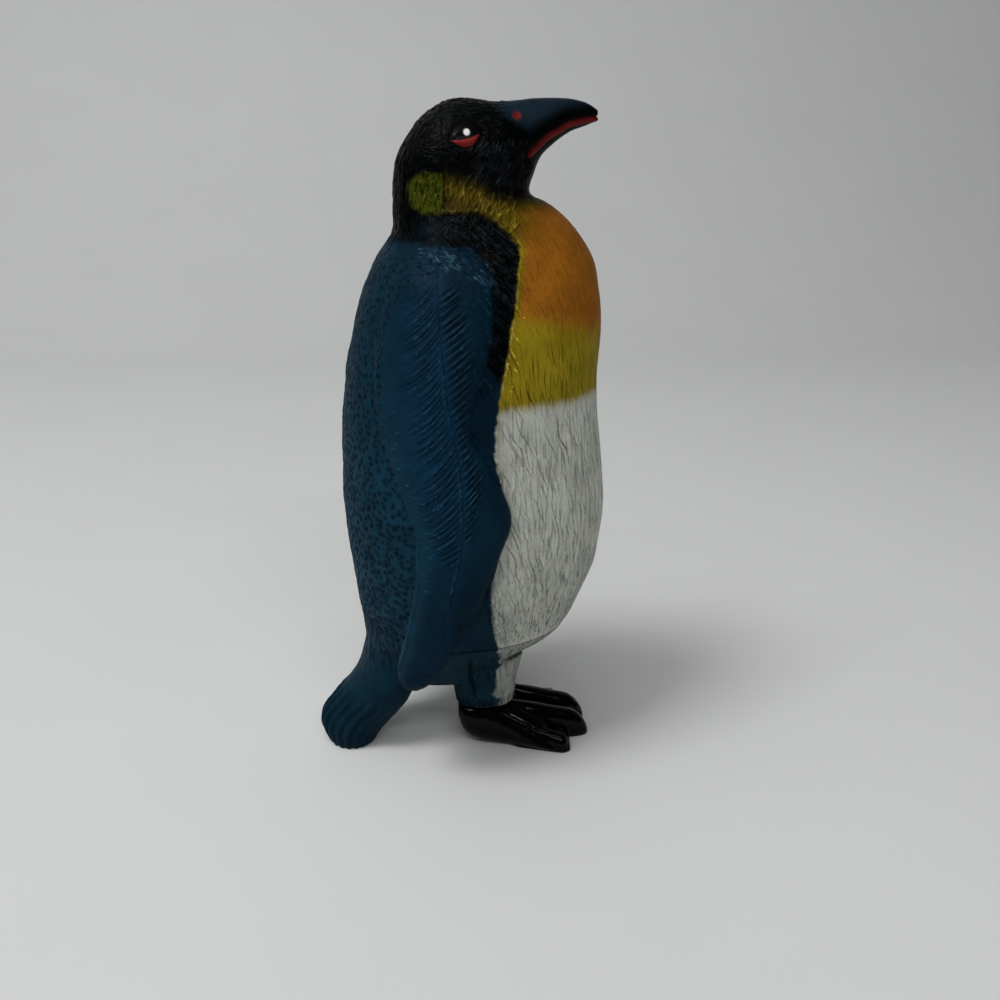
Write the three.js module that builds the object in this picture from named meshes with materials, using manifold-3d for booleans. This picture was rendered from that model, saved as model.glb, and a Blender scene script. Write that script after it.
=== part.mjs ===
// A king penguin toy figure, moulded in five pieces: a front and a rear shell glued along a frontal
// seam, a leg unit that plugs the open bottom, and two feet pegged into the legs.
// Millimetres, +Z up. The bird faces -Y and its right side is at -X.

import * as THREE from 'three';
import { mergeVertices } from 'three/addons/utils/BufferGeometryUtils.js';
import Module from 'manifold-3d';

const wasm = await Module();
wasm.setup();

// Main sizes: half the body's width, the reach of belly, tail and bill from the origin, and the bill's top
const BODY_HALF_WIDTH = 26.0;
const BELLY_REACH = 31.9;
const TAIL_REACH = 37.85;
const BILL_REACH = 28.0;
const BILL_TOP = 150.5;

// Fits
const CLEARANCE = 0.3;
const HALF_CLEARANCE = CLEARANCE / 2;
const JOIN_OVERLAP = 1.0;

// Shell seam
const WALL = 2.4;
const SEAM_Y = 5.0;
const TONGUE_INSET = 0.8;
const TONGUE_WIDTH = 0.8;
const TONGUE_REACH = 1.2;
const PIN_LEVELS = [52, 100];
const PIN_RADIUS = 1.5;
const PIN_REACH = 3.0;
const BOSS_RADIUS = 3.0;
const BOSS_LENGTH = 6.0;
const BOSS_OFFSET = 1.5;

// Bottom seam and the leg unit's spigot
const WAIST_Z = 32.5;
const SPIGOT_HEIGHT = 4.0;
const TAIL_ROOT_Y = 12.0;

// Trunk sections: height, reach forwards, reach backwards, half width
const TRUNK = [
  [19.0, 9.4, 19.4, 10.6],
  [20, 10.2, 21.0, 11.6],
  [23, 11.4, 23.6, 13.4],
  [26, 13.2, 24.9, 15.4],
  [28, 17.4, 25.3, 16.9],
  [30, 20.9, 25.5, 18.2],
  [33, 23.8, 25.7, 19.8],
  [40, 27.0, 26.6, 22.4],
  [50, 30.5, 27.7, 24.8],
  [62, BELLY_REACH, 28.7, BODY_HALF_WIDTH],
  [75, 30.7, 28.6, BODY_HALF_WIDTH],
  [90, 29.3, 27.4, 25.3],
  [104, 30.0, 24.8, 23.7],
  [112, 29.2, 22.4, 21.9],
  [118, 27.8, 19.4, 19.6],
  [124, 24.0, 15.5, 16.6],
  [128, 19.8, 15.3, 14.5],
  [130, 17.0, 15.2, 13.8],
  [131.5, 14.0, 15.2, 13.4],
  [134, 13.6, 15.1, 13.1],
  [138, 14.4, 14.6, 13.2],
];
const CROWN_HEIGHT = 12.4;
const CROWN_SHIFT = 4.2;
const CROWN_TIP_SCALE = 0.055;

// Facets round the trunk's visible skin and round the faces hidden inside it
const SKIN_SIDES = 32;
const INNER_SIDES = 16;
const TRUNK_STEP = 8.0;
const CROWN_STEPS = 5;

// Bill sections: reach forwards, lower edge, upper edge, half width
const BILL = [
  [5, 139.0, 149.0, 6.8],
  [11, 137.0, 150.0, 5.9],
  [15, 137.6, 150.4, 5.0],
  [18, 140.3, BILL_TOP, 4.2],
  [22, 143.1, 150.3, 3.0],
  [26, 144.8, 149.3, 1.9],
  [BILL_REACH, 146.2, 148.1, 0.9],
];
const BILL_STEP = 1.9;
const BILL_SIDES = 14;

// Flipper sections: height, rear edge, front edge (both backwards of the origin), carrier half
// width, rise of the outer face over the carrier; the edges stand a share of the rise off the carrier
const FLIPPER = [
  [24.2, 15.4, 13.2, 22.4, 0.8],
  [25.4, 16.9, 11.3, 22.7, 1.6],
  [28, 17.6, 9.0, 23.2, 2.3],
  [32, 17.0, 6.8, 23.8, 2.7],
  [37, 15.8, 4.1, 24.5, 3.0],
  [43, 14.5, 0.9, 25.0, 3.2],
  [50, 13.4, -2.3, 25.5, 3.3],
  [58, 12.7, -5.4, 25.9, 3.4],
  [65, 13.2, -7.7, BODY_HALF_WIDTH, 3.4],
  [70, 14.6, -7.4, BODY_HALF_WIDTH, 3.4],
  [78, 17.1, -3.4, 25.9, 3.2],
  [86, 19.6, 0.1, 25.5, 3.0],
  [97, 20.0, -1.8, 24.6, 2.8],
  [104, 19.6, -3.8, 23.7, 2.6],
  [111, 18.0, -4.2, 22.1, 2.2],
  [117, 15.4, -3.9, 20.0, 1.5],
  [122, 11.0, 0.4, 17.2, 0.5],
];
const FLIPPER_STEP = 4.0;
const FLIPPER_POINTS = 8;
const FLIPPER_BACKING = 2.2;
const FLIPPER_EDGE_LIFT = 0.12;
const FLIPPER_FREE_BELOW = 60;
const FLIPPER_WRAP_LIMIT = 0.98;

// Tail sections: upper line (backwards, height), lower line (backwards, height), half width
const TAIL = [
  [24.6, 34.0, 12.0, 19.4, 15.0],
  [26.2, 24.5, 13.2, 16.0, 12.5],
  [29.0, 18.0, 15.2, 11.8, 10.2],
  [33.2, 13.0, 18.0, 7.8, 8.7],
  [36.7, 8.4, 20.6, 4.6, 8.0],
  [TAIL_REACH, 4.6, 22.6, 2.2, 7.6],
  [35.6, 0.0, 24.0, 0.0, 7.0],
];
const TAIL_STEPS = 2;
const TAIL_RIDGES = 7;
const TAIL_SIDES = TAIL_RIDGES * 8;
const TAIL_GROOVE_DEPTH = 1.8;
const TAIL_GROOVE_START = 0.7;
const TAIL_GROOVE_FULL = 2.8;

// Legs, from the trunk's underside to the hem
const LEG_X = 5.5;
const LEG_Y = -3.2;
const HEM_Z = 12.2;
const HEM_FLARE = 1.8;
const LEG = [
  [HEM_Z, 7.0, 5.0],
  [HEM_Z + HEM_FLARE, 7.4, 5.2],
  [17, 7.7, 5.2],
  [25, 9.5, 5.6],
];
const LEG_SIDES = 20;
const LEG_STEP = 2.0;
const PEG_RADIUS = 2.5;
const PEG_HEIGHT = 5.0;
const BAR_SIDES = 20;

// Foot sections from the heel forwards: reach, inner edge, outer edge, sole height, top height;
// a sole height under zero is cut off level with the floor
const FOOT_TOP = HEM_Z - CLEARANCE;
const FEET_GAP = 1.2;
const SOLE_TRIM = 1.5;
const INSTEP = [
  [-3.4, 3.0, 6.6, 7.2, FOOT_TOP],
  [-2.6, 1.8, 8.0, 4.4, FOOT_TOP],
  [-1.2, 1.1, 8.8, 2.4, FOOT_TOP],
  [1.0, 0.7, 9.1, 0.9, FOOT_TOP],
  [4.0, 0.6, 9.2, 0.0, FOOT_TOP],
  [8.0, 0.6, 9.7, -0.8, 10.8],
  [12.0, 0.6, 10.9, -1.3, 9.5],
  [16.0, 0.6, 12.1, -SOLE_TRIM, 7.6],
  [20.0, 0.7, 12.9, -SOLE_TRIM, 5.0],
  [24.0, 0.9, 12.4, -SOLE_TRIM, 3.2],
];
const FOOT_SIDES = 18;
const INSTEP_STEP = 2.0;

// Toes from the outer one inwards: root across and forwards, tip across and forwards, half width,
// height; then the share of each one's length where its end begins to round off
const TOES = [
  [5.4, 5.0, 11.2, 24.0, 2.5, 5.2],
  [5.4, 8.0, 7.6, 24.6, 2.0, 4.6],
  [4.2, 6.0, 3.7, 29.6, 2.7, 7.7],
];
const TOE_ROUND_SHARES = [0.9, 0.85, 0.78];
const TOE_STEPS = 9;
const TOE_ROOT_SHARE = 0.35;
const TOE_ROOT_SCALE = 0.5;
const TOE_ROOT_LOW = 2.5;
const TOE_ROOT_RISE = 1.5;
const TOE_TIP_RISE = 0.75;
const TOE_TIP_SCALE = 0.3;

const PAINTS = {
  front: { color: 0xc9b27a, roughness: 0.5 },
  rear: { color: 0x1d4a60, roughness: 0.5 },
  leg: { color: 0x2b5870, roughness: 0.5 },
  foot: { color: 0x0b0b0c, roughness: 0.2 },
};

// A half-space stand-in, larger than the figure
const FAR = 400;

// Points nearer than this are one point, and a step count within this of a whole number is that number
const MERGE_TOLERANCE = 1e-5;
const COUNT_TOLERANCE = 1e-6;

// Turns a closed three.js geometry into a solid
function solidFrom(geometry) {
  const bare = geometry.index ? geometry.toNonIndexed() : geometry.clone();
  bare.deleteAttribute('normal');
  bare.deleteAttribute('uv');
  const merged = mergeVertices(bare, MERGE_TOLERANCE);
  const mesh = new wasm.Mesh({
    numProp: 3,
    vertProperties: new Float32Array(merged.attributes.position.array),
    triVerts: new Uint32Array(merged.index.array),
  });
  mesh.merge();
  return new wasm.Manifold(mesh);
}

// Joins rings of equal count into a closed geometry, each end capped from its middle
function loftGeometry(rings) {
  const sides = rings[0].length;
  const points = rings.flat();
  const faces = [];
  for (let r = 0; r + 1 < rings.length; r += 1) {
    for (let i = 0; i < sides; i += 1) {
      const a = r * sides + i;
      const b = r * sides + ((i + 1) % sides);
      faces.push(a, b, b + sides, a, b + sides, a + sides);
    }
  }
  for (const end of [0, rings.length - 1]) {
    const middle = rings[end].reduce((sum, p) => sum.add(p), new THREE.Vector3());
    const hub = points.push(middle.divideScalar(sides)) - 1;
    for (let i = 0; i < sides; i += 1) {
      const a = end * sides + i;
      const b = end * sides + ((i + 1) % sides);
      faces.push(...(end === 0 ? [hub, b, a] : [hub, a, b]));
    }
  }
  if (enclosedVolume(points, faces) < 0) {
    faces.reverse();
  }
  const geometry = new THREE.BufferGeometry().setFromPoints(points);
  geometry.setIndex(faces);
  return geometry;
}

function enclosedVolume(points, faces) {
  const normal = new THREE.Vector3();
  let total = 0;
  for (let i = 0; i < faces.length; i += 3) {
    normal.crossVectors(points[faces[i + 1]], points[faces[i + 2]]);
    total += points[faces[i]].dot(normal);
  }
  return total / 6;
}

function loft(rings) {
  return solidFrom(loftGeometry(rings));
}

// A smooth curve through rows of sizes, read at any value of each row's first number
function sizesAlong(rows) {
  const width = rows[0].length - 1;
  const keys = rows.map((row) => row[0]);
  const values = rows.flatMap((row) => row.slice(1));
  const curve = new THREE.CubicInterpolant(keys, values, width, new Float32Array(width));
  return (key) => Array.from(curve.evaluate(key));
}

function evenSteps(from, to, step) {
  const count = Math.max(1, Math.ceil((to - from) / step - COUNT_TOLERANCE));
  return Array.from({ length: count + 1 }, (_, i) => from + ((to - from) * i) / count);
}

function slab(low, high) {
  const size = new THREE.Vector3().subVectors(high, low);
  const middle = new THREE.Vector3().addVectors(low, high).multiplyScalar(0.5);
  return solidFrom(new THREE.BoxGeometry(...size).translate(...middle));
}

function boxBetween(y0, y1, z0, z1) {
  return slab(new THREE.Vector3(-FAR, y0, z0), new THREE.Vector3(FAR, y1, z1));
}

// Trunk, neck and head: egg sections that are widest at the seam plane
const trunkSizes = sizesAlong(TRUNK);
const CROWN_BASE = TRUNK[TRUNK.length - 1][0];

function trunkRing(z, inset, crown, sides) {
  const [front, back, half] = trunkSizes(z);
  const height = Math.max(CROWN_HEIGHT - inset, inset);
  const rise = crown * height;
  const scale = Math.max(Math.sqrt(1 - crown * crown), CROWN_TIP_SCALE);
  const widest = SEAM_Y - CROWN_SHIFT * crown;
  const ring = [];
  for (let i = 0; i < sides; i += 1) {
    const angle = (i / sides) * 2 * Math.PI;
    const reach = Math.cos(angle) > 0 ? front + SEAM_Y - inset : back - SEAM_Y - inset;
    const x = Math.sin(angle) * (half - inset) * scale;
    const y = widest - Math.cos(angle) * reach * scale;
    ring.push(new THREE.Vector3(x, y, z + rise));
  }
  return ring;
}

function trunk(inset, sides) {
  const rings = trunkLevels().map((z) => trunkRing(z, inset, 0, sides));
  for (let i = 1; i <= CROWN_STEPS; i += 1) {
    const crown = Math.sin(((i / CROWN_STEPS) * Math.PI) / 2);
    rings.push(trunkRing(CROWN_BASE, inset, crown, sides));
  }
  return loft(rings);
}

// Every section's height, with more between sections that stand far apart
function trunkLevels() {
  const heights = TRUNK.map((row) => row[0]);
  const between = heights.slice(1).flatMap((z, i) => evenSteps(heights[i], z, TRUNK_STEP).slice(1));
  return [heights[0], ...between];
}

function trunkHalfWidth(z) {
  return trunkSizes(z)[2];
}

function bill() {
  const sizes = sizesAlong(BILL);
  const rings = evenSteps(BILL[0][0], BILL[BILL.length - 1][0], BILL_STEP).map((forward) => {
    const [low, high, half] = sizes(forward);
    const ring = [];
    for (let i = 0; i < BILL_SIDES; i += 1) {
      const angle = (i / BILL_SIDES) * 2 * Math.PI;
      const z = (low + high) / 2 + (Math.cos(angle) * (high - low)) / 2;
      ring.push(new THREE.Vector3(Math.sin(angle) * half, -forward, z));
    }
    return ring;
  });
  return loft(rings);
}

// A flipper lies on the trunk's side as a raised blade, and its tip hangs free of the trunk
function flipper(side) {
  const sizes = sizesAlong(FLIPPER);
  const bottom = FLIPPER[0][0];
  const top = FLIPPER[FLIPPER.length - 1][0];
  const rings = evenSteps(bottom, top, FLIPPER_STEP).map((z) => {
    const [rear, front, carrier, rise] = sizes(z);
    const [trunkFront, trunkBack] = trunkSizes(Math.max(z, FLIPPER_FREE_BELOW));
    const outer = [];
    const inner = [];
    for (let i = 0; i <= FLIPPER_POINTS; i += 1) {
      const share = i / FLIPPER_POINTS;
      const y = rear + (front - rear) * share;
      const reach = y < SEAM_Y ? trunkFront + SEAM_Y : trunkBack - SEAM_Y;
      const turn = Math.min(Math.abs(y - SEAM_Y) / reach, FLIPPER_WRAP_LIMIT);
      const swell = Math.sqrt(1 - Math.abs(2 * share - 1) ** 3);
      const lift = FLIPPER_EDGE_LIFT * rise * (1 - swell);
      const base = carrier * Math.sqrt(1 - turn * turn) + lift;
      outer.push(new THREE.Vector3(side * (base + rise * swell), y, z));
      inner.push(new THREE.Vector3(side * (base - FLIPPER_BACKING * swell), y, z));
    }
    return [...outer, ...inner.slice(1, -1).reverse()];
  });
  return loft(rings);
}

// The tail is a stiff fluted wedge that ends in a flat foot
function tail() {
  const rows = TAIL.map((row, i) => [i, ...row]);
  const sizes = sizesAlong(rows);
  const last = TAIL.length - 1;
  const rings = evenSteps(0, last, 1 / TAIL_STEPS).map((at) => {
    const [upperY, upperZ, lowerY, lowerZ, half] = sizes(at);
    const grown = THREE.MathUtils.smoothstep(at, TAIL_GROOVE_START, TAIL_GROOVE_FULL);
    const ring = [];
    for (let i = 0; i < TAIL_SIDES; i += 1) {
      const angle = (i / TAIL_SIDES) * 2 * Math.PI;
      const upper = (1 + Math.cos(angle)) / 2;
      const flute = (1 - Math.cos(angle * TAIL_RIDGES * 2)) / 2;
      const groove = (TAIL_GROOVE_DEPTH / half) * grown * flute * Math.max(Math.cos(angle), 0);
      const mix = 0.5 + (upper - 0.5) * (1 - groove);
      const x = Math.sin(angle) * half * (1 - groove);
      const y = lowerY + (upperY - lowerY) * mix;
      const z = lowerZ + (upperZ - lowerZ) * mix;
      ring.push(new THREE.Vector3(x, y, z));
    }
    return ring;
  });
  const behindRoot = boxBetween(TAIL_ROOT_Y + HALF_CLEARANCE, FAR, -FAR, FAR);
  return loft(rings).intersect(behindRoot);
}

// A round bar along Y
function barAlongY(x, z, radius, y0, y1) {
  const bar = new THREE.CylinderGeometry(radius, radius, y1 - y0, BAR_SIDES);
  return solidFrom(bar.translate(x, (y0 + y1) / 2, z));
}

// An upright round bar
function barAlongZ(x, y, radius, z0, z1) {
  const bar = new THREE.CylinderGeometry(radius, radius, z1 - z0, BAR_SIDES).rotateX(Math.PI / 2);
  return solidFrom(bar.translate(x, y, (z0 + z1) / 2));
}

function pinPlaces() {
  return PIN_LEVELS.flatMap((z) => [-1, 1].map((side) => {
    const x = side * (trunkHalfWidth(z) - WALL - BOSS_OFFSET);
    return { x, z };
  }));
}

function joined(solids) {
  return solids.reduce((sum, solid) => sum.add(solid));
}

const skin = trunk(0, SKIN_SIDES);
const legBay = boxBetween(-FAR, TAIL_ROOT_Y + HALF_CLEARANCE, -FAR, WAIST_Z + HALF_CLEARANCE);
const core = trunk(WALL, INNER_SIDES).intersect(boxBetween(-FAR, FAR, WAIST_Z, FAR));
const outside = joined([skin.subtract(legBay), bill(), flipper(-1), flipper(1), tail()]);
const walls = outside.subtract(core);
const insideWall = trunk(WALL / 2, INNER_SIDES);

function seamBand(outerInset, innerInset, reach) {
  const band = trunk(outerInset, INNER_SIDES).subtract(trunk(innerInset, INNER_SIDES));
  return band.intersect(boxBetween(SEAM_Y - reach, SEAM_Y + CLEARANCE, WAIST_Z + HALF_CLEARANCE, FAR));
}

function frontShell() {
  const zone = boxBetween(-FAR, SEAM_Y - HALF_CLEARANCE, -FAR, FAR);
  const bosses = pinPlaces().map(({ x, z }) => (
    barAlongY(x, z, BOSS_RADIUS, SEAM_Y - BOSS_LENGTH, SEAM_Y - HALF_CLEARANCE).intersect(insideWall)
  ));
  const sockets = pinPlaces().map(({ x, z }) => (
    barAlongY(x, z, PIN_RADIUS + CLEARANCE, SEAM_Y - PIN_REACH - CLEARANCE, SEAM_Y + CLEARANCE)
  ));
  const inner = TONGUE_INSET + TONGUE_WIDTH + CLEARANCE;
  const groove = seamBand(TONGUE_INSET - CLEARANCE, inner, TONGUE_REACH + CLEARANCE);
  return joined([walls.intersect(zone), ...bosses]).subtract(joined([groove, ...sockets]));
}

function rearShell() {
  const zone = boxBetween(SEAM_Y + HALF_CLEARANCE, FAR, -FAR, FAR);
  const bosses = pinPlaces().map(({ x, z }) => (
    barAlongY(x, z, BOSS_RADIUS, SEAM_Y + HALF_CLEARANCE, SEAM_Y + BOSS_LENGTH).intersect(insideWall)
  ));
  const pins = pinPlaces().map(({ x, z }) => (
    barAlongY(x, z, PIN_RADIUS, SEAM_Y - PIN_REACH, SEAM_Y + BOSS_LENGTH / 2)
  ));
  const tongue = seamBand(TONGUE_INSET, TONGUE_INSET + TONGUE_WIDTH, TONGUE_REACH);
  return joined([walls.intersect(zone), tongue, ...bosses, ...pins]);
}

function leg(side) {
  const sizes = sizesAlong(LEG);
  const rings = evenSteps(LEG[0][0], LEG[LEG.length - 1][0], LEG_STEP).map((z) => {
    const [halfLength, halfWidth] = sizes(z);
    return ovalRing(side * LEG_X, LEG_Y, z, halfWidth, halfLength, LEG_SIDES);
  });
  return loft(rings);
}

function ovalRing(x, y, z, halfX, halfY, sides) {
  return Array.from({ length: sides }, (_, i) => {
    const angle = (i / sides) * 2 * Math.PI;
    return new THREE.Vector3(x + Math.cos(angle) * halfX, y + Math.sin(angle) * halfY, z);
  });
}

function legUnit() {
  const zone = boxBetween(-FAR, TAIL_ROOT_Y - HALF_CLEARANCE, -FAR, WAIST_Z - HALF_CLEARANCE);
  const plugTop = WAIST_Z + SPIGOT_HEIGHT;
  const plugZone = boxBetween(-FAR, TAIL_ROOT_Y - HALF_CLEARANCE, WAIST_Z - JOIN_OVERLAP, plugTop);
  const plug = trunk(WALL + CLEARANCE, INNER_SIDES).intersect(plugZone);
  const below = joined([skin.intersect(zone), leg(-1).intersect(zone), leg(1).intersect(zone), plug]);
  const sockets = [-1, 1].map((side) => {
    const top = HEM_Z + PEG_HEIGHT;
    return barAlongZ(side * LEG_X, LEG_Y, PEG_RADIUS + CLEARANCE, HEM_Z - CLEARANCE, top);
  });
  return below.subtract(joined(sockets));
}

// An oval across a foot between its inner and outer edge and its sole and top, as (across, height) points
function footSection(inner, outer, low, high) {
  return Array.from({ length: FOOT_SIDES }, (_, i) => {
    const angle = (i / FOOT_SIDES) * 2 * Math.PI;
    const across = (inner + outer) / 2 + (Math.cos(angle) * (outer - inner)) / 2;
    return [across, (low + high) / 2 + (Math.sin(angle) * (high - low)) / 2];
  });
}

function instep(side) {
  const sizes = sizesAlong(INSTEP);
  const rings = evenSteps(INSTEP[0][0], INSTEP[INSTEP.length - 1][0], INSTEP_STEP).map((forward) => (
    footSection(...sizes(forward)).map(([across, z]) => new THREE.Vector3(side * across, -forward, z))
  ));
  return loft(rings);
}

// A toe grows out of the instep and runs forwards to a blunt tip
function toe(side, [rootX, rootForward, tipX, tipForward, half, tall], roundsFrom) {
  const root = new THREE.Vector2(rootX, rootForward);
  const tip = new THREE.Vector2(tipX, tipForward);
  const along = new THREE.Vector2().subVectors(tip, root).normalize();
  const across = new THREE.Vector2(-along.y, along.x);
  const rings = evenSteps(0, 1, 1 / TOE_STEPS).map((share) => {
    const middle = new THREE.Vector2().lerpVectors(root, tip, share);
    const past = Math.max((share - roundsFrom) / (1 - roundsFrom), 0);
    const blunt = Math.max(Math.sqrt(1 - past * past), TOE_TIP_SCALE);
    const grown = Math.min(share / TOE_ROOT_SHARE, 1);
    const wide = half * blunt * THREE.MathUtils.lerp(TOE_ROOT_SCALE, 1, grown);
    const low = THREE.MathUtils.lerp(TOE_ROOT_LOW, -SOLE_TRIM, grown);
    const high = tall * THREE.MathUtils.lerp(TOE_ROOT_RISE, TOE_TIP_RISE, share) * blunt;
    return footSection(-wide, wide, low, high).map(([offset, z]) => {
      const x = middle.x + across.x * offset;
      const forward = middle.y + across.y * offset;
      return new THREE.Vector3(side * x, -forward, z);
    });
  });
  return loft(rings);
}

function foot(side) {
  const peg = barAlongZ(side * LEG_X, LEG_Y, PEG_RADIUS, FOOT_TOP - JOIN_OVERLAP, FOOT_TOP + PEG_HEIGHT);
  const standing = slab(
    new THREE.Vector3(side > 0 ? FEET_GAP / 2 : -FAR, -FAR, 0),
    new THREE.Vector3(side > 0 ? FAR : -FEET_GAP / 2, FAR, FAR),
  );
  const toes = TOES.map((size, i) => toe(side, size, TOE_ROUND_SHARES[i]));
  return joined([instep(side), peg, ...toes]).intersect(standing);
}

function node(name, solid, paint) {
  const { vertProperties, triVerts, numProp } = solid.getMesh();
  const geometry = new THREE.BufferGeometry();
  const position = new Float32Array((vertProperties.length / numProp) * 3);
  for (let i = 0; i < position.length / 3; i += 1) {
    position.set(vertProperties.subarray(i * numProp, i * numProp + 3), i * 3);
  }
  geometry.setAttribute('position', new THREE.BufferAttribute(position, 3));
  geometry.setIndex(new THREE.BufferAttribute(new Uint32Array(triVerts), 1));
  geometry.computeVertexNormals();
  const mesh = new THREE.Mesh(geometry, new THREE.MeshStandardMaterial(paint));
  mesh.name = name;
  return mesh;
}

const figure = new THREE.Group();
figure.add(
  node('front_shell', frontShell(), PAINTS.front),
  node('rear_shell', rearShell(), PAINTS.rear),
  node('leg_unit', legUnit(), PAINTS.leg),
  node('right_foot', foot(-1), PAINTS.foot),
  node('left_foot', foot(1), PAINTS.foot),
);

// The origin is under the middle of the figure's box
const box = new THREE.Box3().setFromObject(figure);
figure.position.set(0, -(box.min.y + box.max.y) / 2, -box.min.z);

const part = new THREE.Group();
part.add(figure);

export default part;
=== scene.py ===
"""Looks of a king penguin toy figure: two painted vinyl shells, a leg unit and two glossy feet.

Sizes are millimetres in the figure's own frame until a mesh is made: +Z up, the bird faces -Y and its
right side is at -X. Each piece is a fine mesh with real feather marks, painted by attributes.
"""

import math

import bpy
import numpy as np
from mathutils import Matrix, Vector
from mathutils.kdtree import KDTree


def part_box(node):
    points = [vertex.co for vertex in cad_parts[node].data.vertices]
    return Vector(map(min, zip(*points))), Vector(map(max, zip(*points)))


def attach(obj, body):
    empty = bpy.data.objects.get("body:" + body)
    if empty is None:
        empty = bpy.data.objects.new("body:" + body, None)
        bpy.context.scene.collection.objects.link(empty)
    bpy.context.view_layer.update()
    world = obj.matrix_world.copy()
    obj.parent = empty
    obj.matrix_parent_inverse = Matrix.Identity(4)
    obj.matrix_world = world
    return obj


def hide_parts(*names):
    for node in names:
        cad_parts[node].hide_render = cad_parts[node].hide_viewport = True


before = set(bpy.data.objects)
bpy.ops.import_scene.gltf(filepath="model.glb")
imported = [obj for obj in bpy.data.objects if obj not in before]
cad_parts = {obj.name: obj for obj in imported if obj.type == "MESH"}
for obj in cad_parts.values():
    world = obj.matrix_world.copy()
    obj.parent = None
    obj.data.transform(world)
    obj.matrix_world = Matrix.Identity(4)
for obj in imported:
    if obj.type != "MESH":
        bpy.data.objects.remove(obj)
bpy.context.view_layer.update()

MM = 0.001
SEED = 11
MARK_STEP = 0.3
# Marks are left out where they would lie farther than this from the skin
MARK_REACH = 1.2
LINE_REACH = 0.9
VOXEL = 0.22
FOOT_VOXEL = 0.22
LAY_ROUNDS = 12

# Seams
SEAM_Y = 5.0
SEAM_GAP = 0.04
WAIST_Z = 32.5
WAIST_GAP = 0.12
TAIL_ROOT_Y = 12.0

# Cutters reach past the figure on every side
CUT_SIDE = 80.0
CUT_FAR = 60
CUT_REAR = 90
CUT_LOW = -5
CUT_HIGH = 200

# Line of the shells' seam as it shows outside: height, place along Y
SEAM = [
    [-10, 5.4], [33, 5.6], [40, 6.6], [45, 6.6], [49, 5.6], [54, 4.5], [59.6, 3.3], [63.5, 2.8],
    [70, 2.6], [76.3, 2.8], [85.6, 3.9], [93, 5.3], [98, 5.7], [104, 6.2], [110.4, 6.6],
    [116.4, 6.5], [120, 6.1], [124.5, 5.3], [131, 5.0], [155, 5.0],
]

# Trunk sections: height, reach forwards, reach backwards, half width
TRUNK = [
    [19.0, 9.4, 19.4, 10.6],
    [20, 10.2, 21.0, 11.6],
    [23, 11.4, 23.6, 13.4],
    [26, 13.2, 24.9, 15.4],
    [28, 17.4, 25.3, 16.9],
    [30, 20.9, 25.5, 18.2],
    [33, 23.8, 25.7, 19.8],
    [40, 27.0, 26.6, 22.4],
    [50, 30.5, 27.7, 24.8],
    [62, 31.9, 28.7, 26.0],
    [75, 30.7, 28.6, 26.0],
    [90, 29.3, 27.4, 25.3],
    [104, 30.0, 24.8, 23.7],
    [112, 29.2, 22.4, 21.9],
    [118, 27.8, 19.4, 19.6],
    [124, 24.0, 15.5, 16.6],
    [128, 19.8, 15.3, 14.5],
    [130, 17.0, 15.2, 13.8],
    [131.5, 14.0, 15.2, 13.4],
    [134, 14.2, 15.1, 13.1],
    [138, 15.6, 14.6, 13.2],
]
CROWN_BASE = TRUNK[-1][0]
CROWN_HEIGHT = 12.4
CROWN_SHIFT = 4.2
HEAD_Z = 134
BELLY_REACH = max(row[1] for row in TRUNK)

# Bill sections: reach forwards, lower edge, upper edge, half width
BILL = [
    [5, 139.0, 149.6, 6.8],
    [11, 137.0, 150.1, 5.9],
    [15, 138.0, 150.4, 5.0],
    [18, 140.9, 150.5, 4.2],
    [22, 143.7, 150.3, 3.0],
    [26, 145.2, 149.3, 1.9],
    [28, 146.2, 148.1, 0.9],
]

# Flipper sections: height, rear edge, front edge, carrier half width, rise over the carrier
FLIPPER = [
    [24.2, 15.4, 13.2, 22.4, 0.8],
    [25.4, 16.9, 11.3, 22.7, 1.6],
    [28, 17.6, 9.0, 23.2, 2.3],
    [32, 17.0, 6.8, 23.8, 2.7],
    [37, 15.8, 4.1, 24.5, 3.0],
    [43, 14.5, 0.9, 25.0, 3.2],
    [50, 13.4, -2.3, 25.5, 3.3],
    [58, 12.7, -5.4, 25.9, 3.4],
    [65, 13.2, -7.7, 26.0, 3.4],
    [70, 14.6, -7.4, 26.0, 3.4],
    [78, 17.1, -3.4, 25.9, 3.2],
    [86, 19.6, 0.1, 25.5, 3.0],
    [97, 20.0, -1.8, 24.6, 2.8],
    [104, 19.6, -3.8, 23.7, 2.6],
    [111, 18.0, -4.2, 22.1, 2.2],
    [117, 15.4, -3.9, 20.0, 1.5],
    [122, 11.0, 0.4, 17.2, 0.5],
]
FLIPPER_BACKING = 2.2
FLIPPER_FREE_BELOW = 60

# Tail sections: upper line (y, z), lower line (y, z), half width
TAIL = [
    [24.6, 34.0, 12.0, 19.4, 10.5],
    [26.2, 24.5, 13.2, 16.0, 11.2],
    [29.0, 18.0, 15.2, 11.8, 10.2],
    [33.2, 13.0, 18.0, 7.8, 8.7],
    [36.7, 8.4, 20.6, 4.6, 8.0],
    [37.4, 4.6, 22.6, 2.2, 7.6],
    [35.6, 0.0, 24.0, 0.0, 7.0],
]
TAIL_RIDGES = 10
TAIL_GROOVE_DEPTH = 1.15

# Legs: height, half length, half width
LEG_X = 5.5
LEG_Y = -3.2
HEM_Z = 12.2
LEG = [
    [HEM_Z, 7.0, 5.0],
    [14, 7.4, 5.2],
    [17, 7.7, 5.2],
    [25, 9.5, 5.6],
]
HEM_MARKS = 150
HEM_HALF = (5.1, 7.2)
CREASE = [(0.6, 28.8), (0.3, 22.0), (-0.4, 16.0)]
FOOT_TOP = HEM_Z - 0.3

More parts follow.
